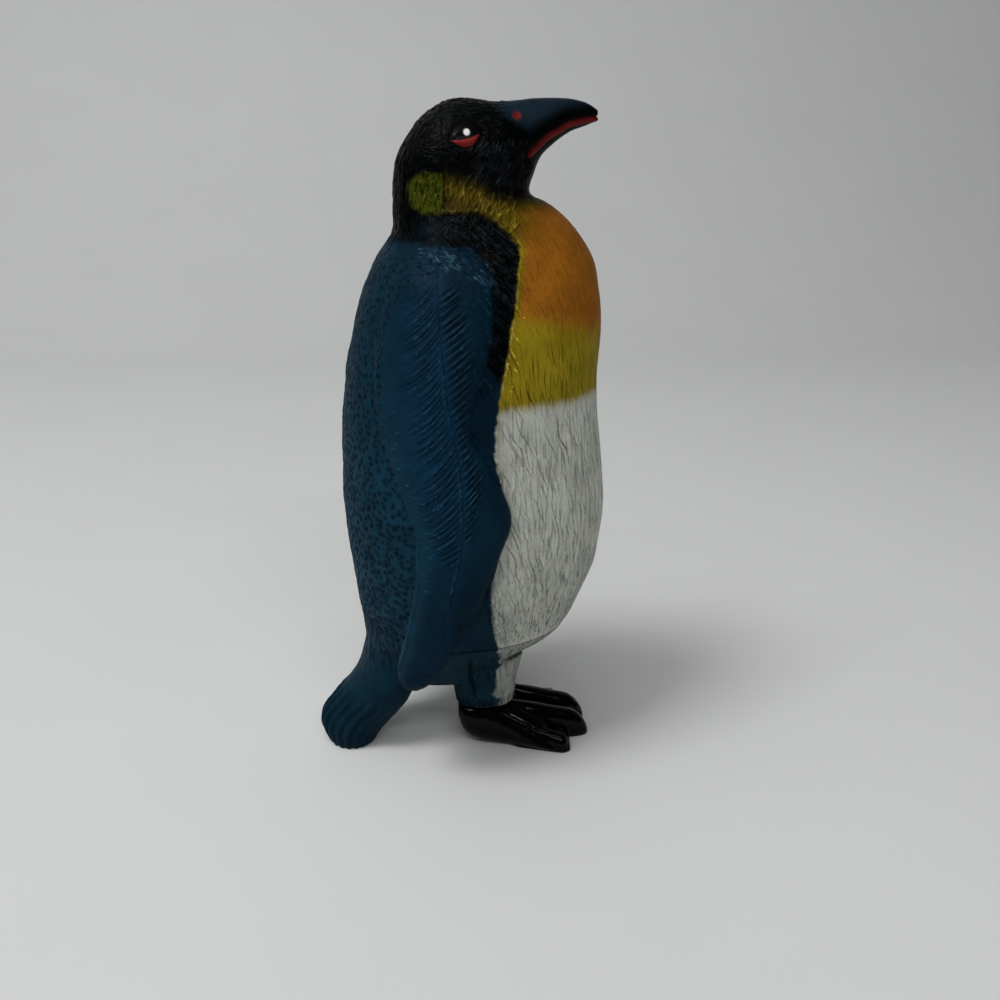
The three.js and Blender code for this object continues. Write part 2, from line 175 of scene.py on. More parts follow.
# Foot sections from the heel forwards: reach, inner edge, outer edge, sole height, top height
INSTEP = [
    [-3.4, 3.0, 6.6, 7.2, FOOT_TOP],
    [-2.6, 1.8, 8.0, 4.4, FOOT_TOP],
    [-1.2, 1.1, 8.8, 2.4, FOOT_TOP],
    [1.0, 0.7, 9.1, 0.9, FOOT_TOP],
    [4.0, 0.6, 9.2, 0.0, FOOT_TOP],
    [8.0, 0.6, 9.7, -0.8, 10.8],
    [12.0, 0.6, 10.9, -1.3, 9.5],
    [16.0, 0.6, 12.1, -1.5, 7.6],
    [20.0, 0.7, 12.9, -1.5, 5.0],
    [24.0, 0.9, 12.4, -1.5, 3.2],
]
# How much lower the outer shoulder of the foot lies: reach, drop
SHOULDER_DROP = [(3, 0.0), (9, 1.6), (16, 2.4), (24, 0.8)]
# Toes from the outer one inwards: root across and forwards, tip across and forwards, half width,
# height, and the share of the length where the end begins to round off
TOES = [
    [5.4, 5.0, 11.2, 24.0, 2.5, 5.2, 0.9],
    [5.4, 8.0, 7.6, 24.6, 2.0, 4.6, 0.85],
    [4.2, 6.0, 3.7, 29.6, 2.7, 7.7, 0.78],
]
FOOT_RIB_GAP = 0.85
FOOT_RIB_HEIGHT = 0.045

# The figure's frame is moved along Y so that its box is centred on the origin
SHIFT_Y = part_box("front_shell")[0].y / MM + BELLY_REACH


# Numbers


def sizes_at(rows, at):
    """Sizes read off a smooth curve through rows, at values of each row's first number."""
    table = np.array(rows, float)
    keys = table[:, 0]
    values = table[:, 1:]
    secants = np.diff(values, axis=0) / np.diff(keys)[:, None]
    slopes = np.vstack([secants[:1], (secants[1:] + secants[:-1]) / 2, secants[-1:]])
    at = np.clip(np.asarray(at, float), keys[0], keys[-1])
    i = np.clip(np.searchsorted(keys, at, side="right") - 1, 0, len(keys) - 2)
    span = (keys[i + 1] - keys[i])[..., None]
    t = (at - keys[i])[..., None] / span
    curve = (
        (2 * t**3 - 3 * t**2 + 1) * values[i]
        + (t**3 - 2 * t**2 + t) * span * slopes[i]
        + (3 * t**2 - 2 * t**3) * values[i + 1]
        + (t**3 - t**2) * span * slopes[i + 1]
    )
    return np.moveaxis(curve, -1, 0)


def graded(rows, at):
    """A size from pairs of place and size, straight between them; a plain number holds everywhere."""
    return rows if np.isscalar(rows) else np.interp(at, *np.transpose(rows))


def steps(low, high, gap):
    return np.linspace(low, high, max(2, int(round((high - low) / gap)) + 1))


def full_turn(count):
    return np.linspace(0, 2 * math.pi, count, endpoint=False)


def smoothstep(low, high, at):
    t = np.clip((at - low) / (high - low), 0, 1)
    return t * t * (3 - 2 * t)


def bump(away, width):
    return np.exp(-((away / width) ** 2))


def lattice_noise(points, size, seed):
    """Smooth noise from -1 to 1 with features of the given size."""
    cell = np.floor(points / size).astype(np.int64)
    part = points / size - cell
    part = part * part * (3 - 2 * part)
    total = np.zeros(len(points))
    for corner in range(8):
        offset = np.array([corner & 1, corner >> 1 & 1, corner >> 2 & 1])
        key = (cell + offset) @ np.array([73856093, 19349663, 83492791]) + seed * 9176
        key = (key ^ (key >> 13)) * 1274126177 & 0x7FFFFFFF
        key = (key ^ (key >> 15)) * 668265263 & 0x7FFFFFFF
        weight = np.prod(np.where(offset, part, 1 - part), axis=1)
        total += weight * (key / 0x3FFFFFFF - 1)
    return total


def segment_place(at, a, b):
    """Distance of points to the line from a to b, and the share of it where the nearest place lies."""
    along = b - a
    share = np.clip((at - a) @ along / (along @ along), 0, 1)
    return np.hypot(*(at - a - share[:, None] * along).T), share


def outline_distance(at, outline):
    """How far inside a closed outline the points of a plane lie, in millimetres; outside is negative."""
    corners = np.array(outline, float)
    closest = np.full(len(at), np.inf)
    inside = np.zeros(len(at), bool)
    for a, b in zip(corners, np.roll(corners, -1, axis=0)):
        closest = np.minimum(closest, segment_place(at, a, b)[0])
        crosses = (a[1] > at[:, 1]) != (b[1] > at[:, 1])
        rise = b[1] - a[1] if b[1] != a[1] else 1.0
        inside ^= crosses & (at[:, 0] < a[0] + (at[:, 1] - a[1]) / rise * (b[0] - a[0]))
    return np.where(inside, closest, -closest)


def line_distance(at, line):
    """Distance to an open line in a plane, and how far along it the nearest point lies, from 0 to 1."""
    points = np.array(line, float)
    lengths = np.hypot(*np.diff(points, axis=0).T)
    starts = np.concatenate([[0], np.cumsum(lengths)])
    closest = np.full(len(at), np.inf)
    place = np.zeros(len(at))
    for i, (a, b) in enumerate(zip(points[:-1], points[1:])):
        gap, share = segment_place(at, a, b)
        closer = gap < closest
        closest[closer] = gap[closer]
        place[closer] = (starts[i] + share[closer] * lengths[i]) / starts[-1]
    return closest, place


# Lofted forms


def loft(rings):
    """Joins rings of points into a closed form, each end capped from its middle."""
    rings = np.asarray(rings, float)
    count, sides = rings.shape[:2]
    points = np.vstack([rings.reshape(-1, 3), rings[0].mean(0), rings[-1].mean(0)])
    ring, side = np.meshgrid(np.arange(count - 1), np.arange(sides), indexing="ij")
    a = (ring * sides + side).ravel()
    b = (ring * sides + (side + 1) % sides).ravel()
    faces = [list(f) for f in np.stack([a, b, b + sides, a + sides], axis=1)]
    turn = np.arange(sides)
    after = (turn + 1) % sides
    first = count * sides
    end = first - sides
    faces += [[first, j, i] for i, j in zip(turn, after)]
    faces += [[first + 1, end + i, end + j] for i, j in zip(turn, after)]
    return outward(points, faces)


def outward(points, faces):
    """A closed form with its faces turned to point outwards."""
    volume = 0.0
    for f in faces:
        for i in range(1, len(f) - 1):
            volume += np.dot(points[f[0]], np.cross(points[f[i]], points[f[i + 1]]))
    if volume < 0:
        faces = [f[::-1] for f in faces]
    return points, faces


def prism(outline):
    """An outline in the YZ plane, drawn out to both sides."""
    sides = len(outline)
    points = np.array([[x, y, z] for x in (-CUT_SIDE, CUT_SIDE) for y, z in outline], float)
    faces = [[i, (i + 1) % sides, (i + 1) % sides + sides, i + sides] for i in range(sides)]
    faces += [list(range(sides))[::-1], list(range(sides, 2 * sides))]
    return outward(points, faces)


def trunk_points(z, angle):
    """Points of the trunk, neck and head at heights z and angles round the body, 0 at the front."""
    z = np.asarray(z, float)
    front, back, half = sizes_at(TRUNK, np.minimum(z, CROWN_BASE))
    crown = np.clip((z - CROWN_BASE) / CROWN_HEIGHT, 0, 1)
    scale = np.sqrt(np.maximum(1 - crown**2, 0.0005))
    widest = SEAM_Y - CROWN_SHIFT * crown
    reach = np.where(np.cos(angle) > 0, front + SEAM_Y, back - SEAM_Y)
    x = np.sin(angle) * half * scale
    y = widest - np.cos(angle) * reach * scale
    return np.stack([x, y, z + 0 * x], axis=-1)


def trunk():
    arc = np.sin(np.linspace(0, math.pi / 2, 24))[1:]
    levels = np.concatenate([steps(TRUNK[0][0], CROWN_BASE, 1.0), CROWN_BASE + CROWN_HEIGHT * arc])
    return loft(trunk_points(levels[:, None], full_turn(128)[None, :]))


def bill():
    forward = steps(BILL[0][0], BILL[-1][0], 0.5)[:, None]
    low, high, half = sizes_at(BILL, forward)
    turn = full_turn(56)
    x = half * np.sin(turn)
    z = (low + high) / 2 + (high - low) / 2 * np.cos(turn)
    return loft(np.stack([x, 0 * turn - forward, z], axis=-1))


def flipper_base(y, z, carrier):
    """Half width of the surface that a flipper lies on."""
    front, back, _ = sizes_at(TRUNK, np.maximum(z, FLIPPER_FREE_BELOW))
    reach = np.where(y < SEAM_Y, front + SEAM_Y, back - SEAM_Y)
    turn = np.minimum(np.abs(y - SEAM_Y) / reach, 0.98)
    return carrier * np.sqrt(1 - turn**2)


def flipper_points(z, share, lift):
    """Points of the right flipper from its rear edge (0) to its front edge (1), outside at a lift of 1."""
    rear, front, carrier, rise = sizes_at(FLIPPER, z)
    y = rear + (front - rear) * share
    base = flipper_base(y, z, carrier)
    swell = np.sqrt(np.clip(1 - np.abs(2 * share - 1) ** 3, 0, 1))
    out = base + np.where(lift > 0, rise, FLIPPER_BACKING) * swell * lift
    return np.stack([-out, y, z + 0 * y], axis=-1)


def flipper(side):
    z = steps(FLIPPER[0][0], FLIPPER[-1][0], 1.0)[:, None]
    share = np.linspace(0, 1, 29)[None, :]
    outer = flipper_points(z, share, 1.0)
    inner = flipper_points(z, share[:, 1:-1], -1.0)[:, ::-1]
    rings = np.concatenate([outer, inner], axis=1)
    rings[..., 0] *= -side
    return loft(rings)


def tail():
    rows = [[i, *row] for i, row in enumerate(TAIL)]
    at = np.linspace(0, len(TAIL) - 1, 60)[:, None]
    upper_y, upper_z, lower_y, lower_z, half = sizes_at(rows, at)
    turn = full_turn(240)[None, :]
    # Flutes on the upper side, uneven in depth, that begin at different places and fade to the tip
    dorsal = np.clip(np.cos(turn) + 0.6, 0, 1) ** 0.5
    uneven = 0.8 + 0.2 * np.cos(turn * 5.3 + 1.1)
    flute = (0.15 - np.abs(np.cos(turn * TAIL_RIDGES)) ** 3.2) * dorsal * uneven
    begins = 0.3 + 0.3 * np.cos(turn * 7.0)
    grown = smoothstep(begins, begins + 1.7, at) * (1 - 0.4 * smoothstep(4.6, 6.0, at))
    groove = TAIL_GROOVE_DEPTH / half * grown * flute
    mix = 0.5 + np.cos(turn) / 2 * (1 + groove)
    x = np.sin(turn) * half * (1 + groove)
    y = lower_y + (upper_y - lower_y) * mix
    z = lower_z + (upper_z - lower_z) * mix
    return loft(np.stack([x, y, z], axis=-1))


def leg_column(side):
    z = steps(LEG[0][0], LEG[-1][0], 0.5)[:, None]
    long, wide = sizes_at(LEG, z)
    turn = full_turn(72)[None, :]
    ring = [side * LEG_X + wide * np.cos(turn), LEG_Y + long * np.sin(turn), z + 0 * turn]
    return loft(np.stack(ring, axis=-1))


# Meshes


def in_scene(name, data):
    made = bpy.data.objects.new(name, data)
    bpy.context.scene.collection.objects.link(made)
    return made


def mesh_object(name, points, faces):
    mesh = bpy.data.meshes.new(name)
    mesh.from_pydata(points.tolist(), [], faces)
    mesh.update()
    return in_scene(name, mesh)


def read_all(items, field, kind=float, size=1):
    """One field of all the points, corners or faces of a mesh."""
    values = np.empty(len(items) * size, kind)
    items.foreach_get(field, values)
    return values.reshape(-1, size) if size > 1 else values


def vertex_places(mesh):
    return read_all(mesh.vertices, "co", size=3)


def joined(forms):
    points, faces, start = [], [], 0
    for form_points, form_faces in forms:
        points.append(form_points)
        faces += [[i + start for i in f] for f in form_faces]
        start += len(form_points)
    return np.vstack(points), faces


def settled(piece):
    """The piece's mesh with its modifiers applied; the piece itself is deleted."""
    bpy.context.view_layer.update()
    graph = bpy.context.evaluated_depsgraph_get()
    mesh = bpy.data.meshes.new_from_object(piece.evaluated_get(graph))
    bpy.data.objects.remove(piece)
    return mesh


def cut_mesh(piece, cutter, operation):
    """The mesh of a piece that is cut by another form, or kept inside it."""
    tool = mesh_object("cutter", *cutter)
    change = piece.modifiers.new("cut", "BOOLEAN")
    change.solver = "MANIFOLD"
    change.operation = operation
    change.object = tool
    mesh = settled(piece)
    bpy.data.objects.remove(tool)
    return mesh


def cut(form, cutter, operation):
    mesh = cut_mesh(mesh_object("form", *form), cutter, operation)
    points = vertex_places(mesh)
    faces = [list(p.vertices) for p in mesh.polygons]
    bpy.data.meshes.remove(mesh)
    return points, faces


def remeshed(forms, voxel):
    """One even skin of four-sided faces round overlapping forms."""
    piece = mesh_object("skin", *joined(forms))
    skin = piece.modifiers.new("skin", "REMESH")
    skin.mode = "VOXEL"
    skin.voxel_size = voxel
    mesh = settled(piece)
    points = vertex_places(mesh)
    corners = read_all(mesh.loops, "vertex_index", np.int32)
    bpy.data.meshes.remove(mesh)
    return Skin(points, corners.reshape(-1, 4))


def neighbour_mean(edges, values):
    """The mean of the values at each point's neighbours."""
    a, b = edges.T
    total = len(values)
    count = np.maximum(np.bincount(a, minlength=total) + np.bincount(b, minlength=total), 1)
    columns = []
    for column in values.T:
        near = np.bincount(a, column[b], total) + np.bincount(b, column[a], total)
        columns.append(near / count)
    return np.stack(columns, axis=1)


class Skin:
    """A mesh of four-sided faces, with the paint and finish that its points carry."""

    def __init__(self, points, faces):
        self.points = points
        self.faces = faces
        pairs = np.vstack([faces[:, [i, (i + 1) % 4]] for i in range(4)])
        self.edges = np.unique(np.sort(pairs, axis=1), axis=0)
        self.marks = {}

    def normals(self):
        a, b, c, d = (self.points[self.faces[:, i]] for i in range(4))
        across = np.cross(c - a, d - b)
        total = np.zeros_like(self.points)
        for axis in range(3):
            for corner in range(4):
                total[:, axis] += np.bincount(self.faces[:, corner], across[:, axis], len(total))
        return total / np.maximum(np.linalg.norm(total, axis=1), 1e-12)[:, None]

    def keep_lay(self, rounds):
        """Keeps the way that the skin faces before it gets its fine relief."""
        lay = self.normals()
        for _ in range(rounds):
            lay = neighbour_mean(self.edges, lay)
        self.marks["lay"] = lay

    def smooth(self, rounds):
        for _ in range(rounds):
            self.points = self.points + 0.5 * (neighbour_mean(self.edges, self.points) - self.points)

    def smooth_zone(self, amount, rounds):
        """Smooths only the points whose amount is over 0."""
        chosen = amount > 0
        number = np.cumsum(chosen) - 1
        edges = number[self.edges[chosen[self.edges].all(axis=1)]]
        share = 0.5 * amount[chosen][:, None]
        points = self.points[chosen]
        for _ in range(rounds):
            points = points + share * (neighbour_mean(edges, points) - points)
        self.points[chosen] = points

    def raise_by(self, height):
        self.points = self.points + self.normals() * height[:, None]


# Feather marks


def point_tree(points, keys):
    tree = KDTree(len(keys))
    for key in keys:
        tree.insert(points[key], key)
    tree.balance()
    return tree


def find_nearest(tree, points):
    """The key of the tree's point that is nearest to each point, and how far away it is."""
    found = [tree.find(p) for p in points]
    return np.array([f[1] for f in found]), np.array([f[2] for f in found])


class Strokes:
    """Short ridges and grooves laid along a skin, kept as points with a direction, width and height."""

    def __init__(self, skin):
        self.skin = skin
        self.normals = skin.normals()
        self.tree = point_tree(skin.points, range(0, len(skin.points), 2))
        self.rows = []

    def add(self, centres, headings, half_length, width, height, darkening=1.0):
        """Marks at centres that point along headings; one size for all or one for each."""
        at, gap = find_nearest(self.tree, centres)
        keep = gap < MARK_REACH
        middle = self.skin.points[at[keep]]
        normal = self.normals[at[keep]]
        along = np.broadcast_to(headings, (len(centres), 3))[keep]
        along = along - np.sum(along * normal, axis=1)[:, None] * normal
        along = along / np.maximum(np.linalg.norm(along, axis=1), 1e-6)[:, None]
        across = np.cross(normal, along)
        sizes = (half_length, width, height, darkening)
        half_length, width, height, darkening = (np.broadcast_to(v, len(centres))[keep] for v in sizes)
        count = int(math.ceil(2 * half_length.max() / MARK_STEP)) + 1
        for share in np.linspace(-1, 1, count):
            taper = math.sqrt(max(1 - share * share, 0.0))
            place = middle + along * (half_length * share)[:, None]
            wide = width * (0.55 + 0.45 * taper)
            self.rows.append(np.column_stack([place, across, wide, height * taper, darkening]))

    def trace(self, paths, width, height, darkening=1.0):
        """Long marks along lines of points, each fading towards both ends."""
        sizes = [np.broadcast_to(v, len(paths)) for v in (width, height, darkening)]
        for path, wide, high, dark in zip(paths, *sizes):
            if len(path) < 3:
                continue
            at, gap = find_nearest(self.tree, path)
            along = np.gradient(path, axis=0)
            along = along / np.linalg.norm(along, axis=1)[:, None]
            across = np.cross(self.normals[at], along)
            taper = np.sin(np.linspace(0.12, math.pi - 0.12, len(path))) ** 0.6
            inks = np.full(len(path), dark)
            rows = np.column_stack([path, across, wide * (0.6 + 0.4 * taper), high * taper, inks])
            self.rows.append(rows[gap < LINE_REACH])

    def heights(self):
        """The height of the nearest mark at each point of the skin, and how much it is darkened, partly as
        dark paint in the grooves and partly as painted shade.
        """
        rows = np.vstack(self.rows)
        rows = rows[np.abs(rows[:, 7]) > 1e-3]
        at, gap = find_nearest(point_tree(rows[:, :3], range(len(rows))), self.skin.points)
        row = rows[at]
        wide, high, darkening = row[:, 6:].T
        side = np.abs(np.sum((self.skin.points - row[:, :3]) * row[:, 3:6], axis=1))
        beyond = np.maximum(np.sqrt(np.maximum(gap**2 - side**2, 0)) - MARK_STEP / 2, 0)
        profile = np.exp(-(side**2 + beyond**2) / wide**2)
        return high * profile, darkening * profile * np.clip(-high / 0.25, 0, 1)


def trunk_places(low, high, row_gap, gap, angle_low, angle_high, jitter, rng):
    """Staggered rows of points on both sides of the trunk, between two heights and two angles."""
    places = []
    for row, z in enumerate(np.arange(low, high, row_gap)):
        angle = np.linspace(angle_low, angle_high, 120)
        for side in (-1, 1):
            ring = trunk_points(z, side * angle)
            run = np.concatenate([[0], np.cumsum(np.linalg.norm(np.diff(ring, axis=0), axis=1))])
            at = np.arange((row % 2) * gap / 2, run[-1], gap)
            at = at + rng.uniform(-jitter, jitter, len(at)) * gap
            spot = np.interp(at, run, angle)
            height = z + rng.uniform(-jitter, jitter, len(at)) * row_gap
            places.append(trunk_points(height, side * spot))
    return np.vstack(places)


def blade_points(y, z, side, low, high):
    """Points of the flippers' outer faces at places in the side plane, between two shares of the width."""
    rear, front, _, _ = sizes_at(FLIPPER, z)
    share = (y - rear) / (front - rear)
    keep = (z > FLIPPER[0][0]) & (z < FLIPPER[-1][0]) & (share > low) & (share < high)
    face = flipper_points(z[keep], share[keep], 1.0)
    face[:, 0] *= -np.broadcast_to(side, len(z))[keep]
    return face, share[keep]


def blade_places(tilt, gap, along_gap, rng):
    """Points on both flippers' outer faces in lines at an angle to the level, with staggered ends."""
    first, last = -60, 160
    direction = np.array([-math.cos(tilt), math.sin(tilt)])
    across = np.array([math.sin(tilt), math.cos(tilt)])
    places = []
    for side in (-1, 1):
        for line in np.arange(first, last, gap):
            along = np.arange(first + rng.uniform(0, along_gap), last, along_gap)
            along = along + rng.uniform(-0.2, 0.2, len(along)) * along_gap
            spot = direction * along[:, None] + across * (line + rng.uniform(-0.15, 0.15) * gap)
            places.append(np.column_stack([np.full(len(spot), side), spot]))
    side, y, z = np.vstack(places).T
    return blade_points(y, z, side, 0.02, 0.98)


def seam_at(z):
    return sizes_at(SEAM, z)[0]


# Barbs of a flipper ahead of its seam and behind it: heights, and the tilt, length and gap by height
AHEAD_SPAN = (63, 113)
AHEAD_TILT = [(63, 0.8), (70, 0.85), (76, 0.75), (96, 0.66), (112, 0.6)]
AHEAD_LENGTH = [(63, 4.0), (68, 6.5), (76, 8.0), (100, 8.5), (112, 5.0)]
AHEAD_GAP = 1.45
BEHIND_SPAN = (60, 117)
BEHIND_TILT = [(60, 0.6), (68, 0.9), (80, 1.0), (106, 1.0)]
BEHIND_LENGTH = [(60, 4.0), (66, 9.0), (78, 12.0), (117, 12.0)]
BEHIND_GAP = [(80, 1.55), (92, 1.2)]
BARB_ROOT = 0.4
# Lines down the front are spaced as on a cylinder of this radius
FRONT_RADIUS = 29


def barbs(rng, lift=0.0):
    """Barbs of both flippers: up and forwards from the seam, and down and backwards behind it."""
    ahead, behind, starts = [], [], []

    def barb(y, z, side):
        return blade_points(y, z, side, 0.06, 0.95)[0]

    for side in (-1, 1):
        for low in np.arange(*AHEAD_SPAN, AHEAD_GAP):
            start = low + lift + rng.uniform(-0.18, 0.18)
            tilt = graded(AHEAD_TILT, low) + rng.uniform(-0.05, 0.05)
            run = np.arange(BARB_ROOT, graded(AHEAD_LENGTH, low) * rng.uniform(0.8, 1.1), MARK_STEP)
            ahead.append(barb(seam_at(start) - run * math.cos(tilt), start + run * math.sin(tilt), side))
        low, top = BEHIND_SPAN
        while low < top:
            start = low + lift + rng.uniform(-0.25, 0.25)
            tilt = graded(BEHIND_TILT, low) + rng.uniform(-0.08, 0.08)
            run = np.arange(BARB_ROOT, graded(BEHIND_LENGTH, low) * rng.uniform(0.75, 1.05), MARK_STEP)
            bent = tilt * (1 - 0.5 * run / 11)
            y = seam_at(start) + np.cumsum(np.cos(bent) * MARK_STEP)
            z = start - np.cumsum(np.sin(bent) * MARK_STEP)
            behind.append(barb(y, z, side))
            starts.append(start)
            low += graded(BEHIND_GAP, low)
    return ahead, behind, np.array(starts)


def front_lines(rng, low, high, gap, angle_high, short, long):
    """Broken lines down the breast and belly that drift forwards as they fall."""
    lines = []
    for side in (-1, 1):
        for angle in np.arange(0.01, angle_high, gap / FRONT_RADIUS):
            top = high - rng.uniform(0, long)
            while top > low:
                length = rng.uniform(short, long)
                z = np.arange(top, max(top - length, low), -MARK_STEP)
                if len(z) > 5:
                    lean = 0.0064 * angle**2 * (z - 60) + 0.006 * np.maximum(z - 76, 0)
                    wave = 0.012 * np.sin(z * rng.uniform(0.3, 1.0) + rng.uniform(0, 6.28))
                    turn = angle + lean + wave + rng.uniform(-0.012, 0.012)
                    lines.append(trunk_points(z, side * turn))
                top -= length + rng.uniform(0.2, 2.2)
    return lines


def turned(rng, count, heading, spread):
    """Headings in the side plane (y, z), each turned by up to the spread."""
    angle = rng.uniform(-spread, spread, count)
    y, z = heading
    turned_y = y * np.cos(angle) - z * np.sin(angle)
    turned_z = y * np.sin(angle) + z * np.cos(angle)
    return np.column_stack([np.zeros(count), turned_y, turned_z])


# Outlines of the paint in the side plane (y, z), from the photograph's near side and mirrored
COLLAR_TOP = [(SEAM_Y, 136.4), (-0.9, 134.8), (-5.6, 132.0), (-10.0, 130.9), (-14.0, 130.7)]
COLLAR_FOOT = [(-9.9, 122.3), (-8.1, 124.6), (-5.4, 127.0), (-2.0, 128.7), (SEAM_Y, 128.7)]
CHEST_EDGE = [
    (-6.4, 11.0), (-6.0, 18.5), (-6.7, 24.6), (-5.6, 33.1), (-4.4, 39.4), (-3.6, 49.1), (-4.6, 62.0),
    (-5.9, 73.6), (-4.3, 80.3), (-4.8, 87.6), (-5.2, 91.9), (-6.8, 99.3), (-7.9, 106.4), (-8.9, 111.3),
    (-10.0, 119.7),
]
FRONT_PAINT = [*COLLAR_TOP, (-45.0, 130.5), (-45.0, 0.0), (-6.6, 0.0), *CHEST_EDGE, *COLLAR_FOOT]
HOOD = [
    (40.0, 122.6), (14.3, 122.8), (10.8, 122.7), (5.9, 122.5), (2.9, 122.5), (-0.1, 121.7), (-2.2, 119.4),
    (-2.4, 116.0), (-2.4, 110.2), (-2.2, 103.0), (-3.0, 99.6), (-5.0, 96.2), (-8.0, 94.0),
    (-45.0, 94.0), (-45.0, 170.0), (40.0, 170.0),
]
EAR_PATCH = [
    (11.9, 133.6), (11.1, 135.2), (9.2, 136.0), (6.5, 136.2), (0.0, 136.0),
    (0.0, 128.5), (6.5, 128.2), (9.2, 128.5), (11.1, 129.3), (11.9, 131.0),
]
FACE_EDGE = [
    (-8.6, 151.0), (-9.3, 149.0), (-11.1, 145.0), (-12.8, 142.0), (-13.4, 139.6), (-14.5, 136.0),
]
BILL_ZONE = [*FACE_EDGE, (-45.0, 136.0), (-45.0, 151.0)]
MOUTH = [(-12.8, 139.9), (-17.1, 143.4), (-21.9, 145.9), (-26.1, 146.7), (-28.2, 146.8)]
NOSTRIL = (-10.6, 146.9)
NOSTRIL_RADIUS = 0.85
EYE = (0.0, 143.2)
EYE_FORWARD = np.array([-0.952, 0.305])
EYE_UP = np.array([0.305, 0.952])
EYE_RELIEF = (2.7, 1.7)
EYE_PAINT = (2.9, 1.8)
LID_HALF = 3.4


def eye_place(side_plane):
    """Places along and above the slanted axis of the eye."""
    away = side_plane - np.array(EYE)
    return away @ EYE_FORWARD, away @ EYE_UP


def eye_ball(along, up, half_length, half_height):
    """1 at the middle of the eye, 0 at its edge and negative outside."""
    return 1 - (along / half_length) ** 2 - ((up - 0.15) / half_height) ** 2


def lid_depth(side_plane):
    """How far inside the crescent of the lower lid each point lies."""
    along, up = eye_place(side_plane)
    low = -2.15 + 0.22 * (along + 0.2) ** 2
    high = -0.74 - 0.1 * along + 0.05 * (along + 0.4) ** 2
    return np.minimum.reduce([up - low, high - up, 0.7 * (2.4 - along)])


def nostril_gap(side_plane):
    return np.hypot(side_plane[:, 0] - NOSTRIL[0], side_plane[:, 1] - NOSTRIL[1])


def mouth_place(side_plane):
    """Height over the line of the mouth, and how far along it from the corner to the tip."""
    gap, share = line_distance(side_plane, MOUTH)
    line = np.array(MOUTH)[::-1]
    over = side_plane[:, 1] - np.interp(side_plane[:, 0], line[:, 0], line[:, 1])
    return np.where(over > 0, gap, -gap), share


# Paint: the colours as they look in plain light


def paint(red, green, blue):
    colour = np.array([red, green, blue]) / 255
    return np.where(colour <= 0.04045, colour / 12.92, ((colour + 0.055) / 1.055) ** 2.4)


BLUE = paint(21, 60, 80)
FLIPPER_BLUE = paint(12, 42, 62)
FLIPPER_FRONT_PAINTED_SHADE = paint(8, 35, 50)
LEG_BLUE_WITH_SHADE = paint(14, 41, 51)
BLACK = paint(2, 3, 3)
BAND_BLACK = paint(1, 2, 3)
EAR_GREEN = paint(62, 67, 10)
COLLAR_YELLOW = paint(74, 64, 6)
COLLAR_GOLD = paint(142, 116, 34)
BARB_PAINTED_HIGHLIGHT = paint(34, 36, 43)
ORANGE = paint(158, 98, 27)
YELLOW = paint(153, 133, 28)
WHITE = paint(199, 202, 192)
RIM = paint(186, 174, 104)
GLINT = paint(84, 122, 146)
BILL_SLATE_AND_SHEEN = paint(20, 34, 45)
RED = paint(126, 38, 36)
DEEP_RED = paint(66, 13, 15)
EYE_BLACK = paint(8, 8, 9)
EYE_SPARK = paint(238, 236, 236)

# How strong the sprayed colours are at a height, and how soft the edge of the front's colours is there; the
# back with the tail and the lower belly get darker towards the bottom, which is painted shade under the body
BACK_SPRAY_AND_SHADE = [(0, 0.42), (20, 0.46), (40, 0.86), (80, 0.68), (105, 0.48), (120, 0.4)]
BLADE_SPRAY = [(24, 0.68), (45, 0.7), (62, 1.05), (80, 1.15), (105, 0.95), (120, 0.72)]
BREAST_SPRAY = [(92, 1.0), (112, 0.95), (128, 0.68)]
BELLY_SPRAY_AND_SHADE = [(20, 0.8), (38, 0.84), (58, 0.98)]
FRONT_SOFTNESS = [(20, 0.5), (60, 0.45), (90, 0.3), (120, 0.3), (128, 0.8), (131, 1.6)]
BELLY_TOP = 89.9
# Width of the lip along the mouth, and how soft its edge is
LIP = [(0, 1.05), (0.1, 1.0), (1, 0.85)]
LIP_SOFTNESS = 0.24


def mixed(base, colour, share):
    return base + (colour - base) * np.clip(share, 0, 1)[:, None]


# Body: trunk, bill, flippers and tail in one skin


def leg_bay(gap):
    """Outline of the leg unit's space in the side plane, wider by a gap where it meets the shells."""
    rear = TAIL_ROOT_Y + gap
    top = WAIST_Z + gap
    return [(-CUT_FAR, CUT_LOW), (rear, CUT_LOW), (rear, top), (-CUT_FAR, top)]


def body_skin():
    upper = cut(trunk(), prism(leg_bay(WAIST_GAP / 2)), "DIFFERENCE")
    skin = remeshed([upper, bill(), flipper(-1), flipper(1), tail()], VOXEL)
    skin.smooth(4)
    # The bill grows out of the face and the tail out of the back without an edge
    x, y, z = skin.points.T
    edge, _ = line_distance(skin.points[:, 1:], FACE_EDGE)
    skin.smooth_zone(smoothstep(5.0, 2.5, edge) * (z > 131), 160)
    root = smoothstep(42, 37, z) * smoothstep(13, 17, z) * smoothstep(14, 16.5, y)
    skin.smooth_zone(root * smoothstep(18.5, 17, np.abs(x)), 220)
    return skin


def blade_share(points):
    """Place across a flipper from rear (0) to front (1), and height over the trunk, of points beside one."""
    x, y, z = points.T
    level = np.clip(z, FLIPPER[0][0], FLIPPER[-1][0])
    rear, front, carrier, _ = sizes_at(FLIPPER, level)
    share = (y - rear) / (front - rear)
    over = np.abs(x) - flipper_base(y, level, carrier)
    beside = (z > FLIPPER[0][0] - 1) & (z < FLIPPER[-1][0])
    return np.where(beside, share, -1), over


def lay_feathers(skin):
    """Feather marks on every part of the body, as heights and as darkening at the skin's points, partly dark
    paint and partly painted shade.
    """
    marks = Strokes(skin)
    rng = np.random.default_rng(SEED)
    trunk_feathers(marks, rng)
    blade_feathers(marks, rng)
    return marks.heights()


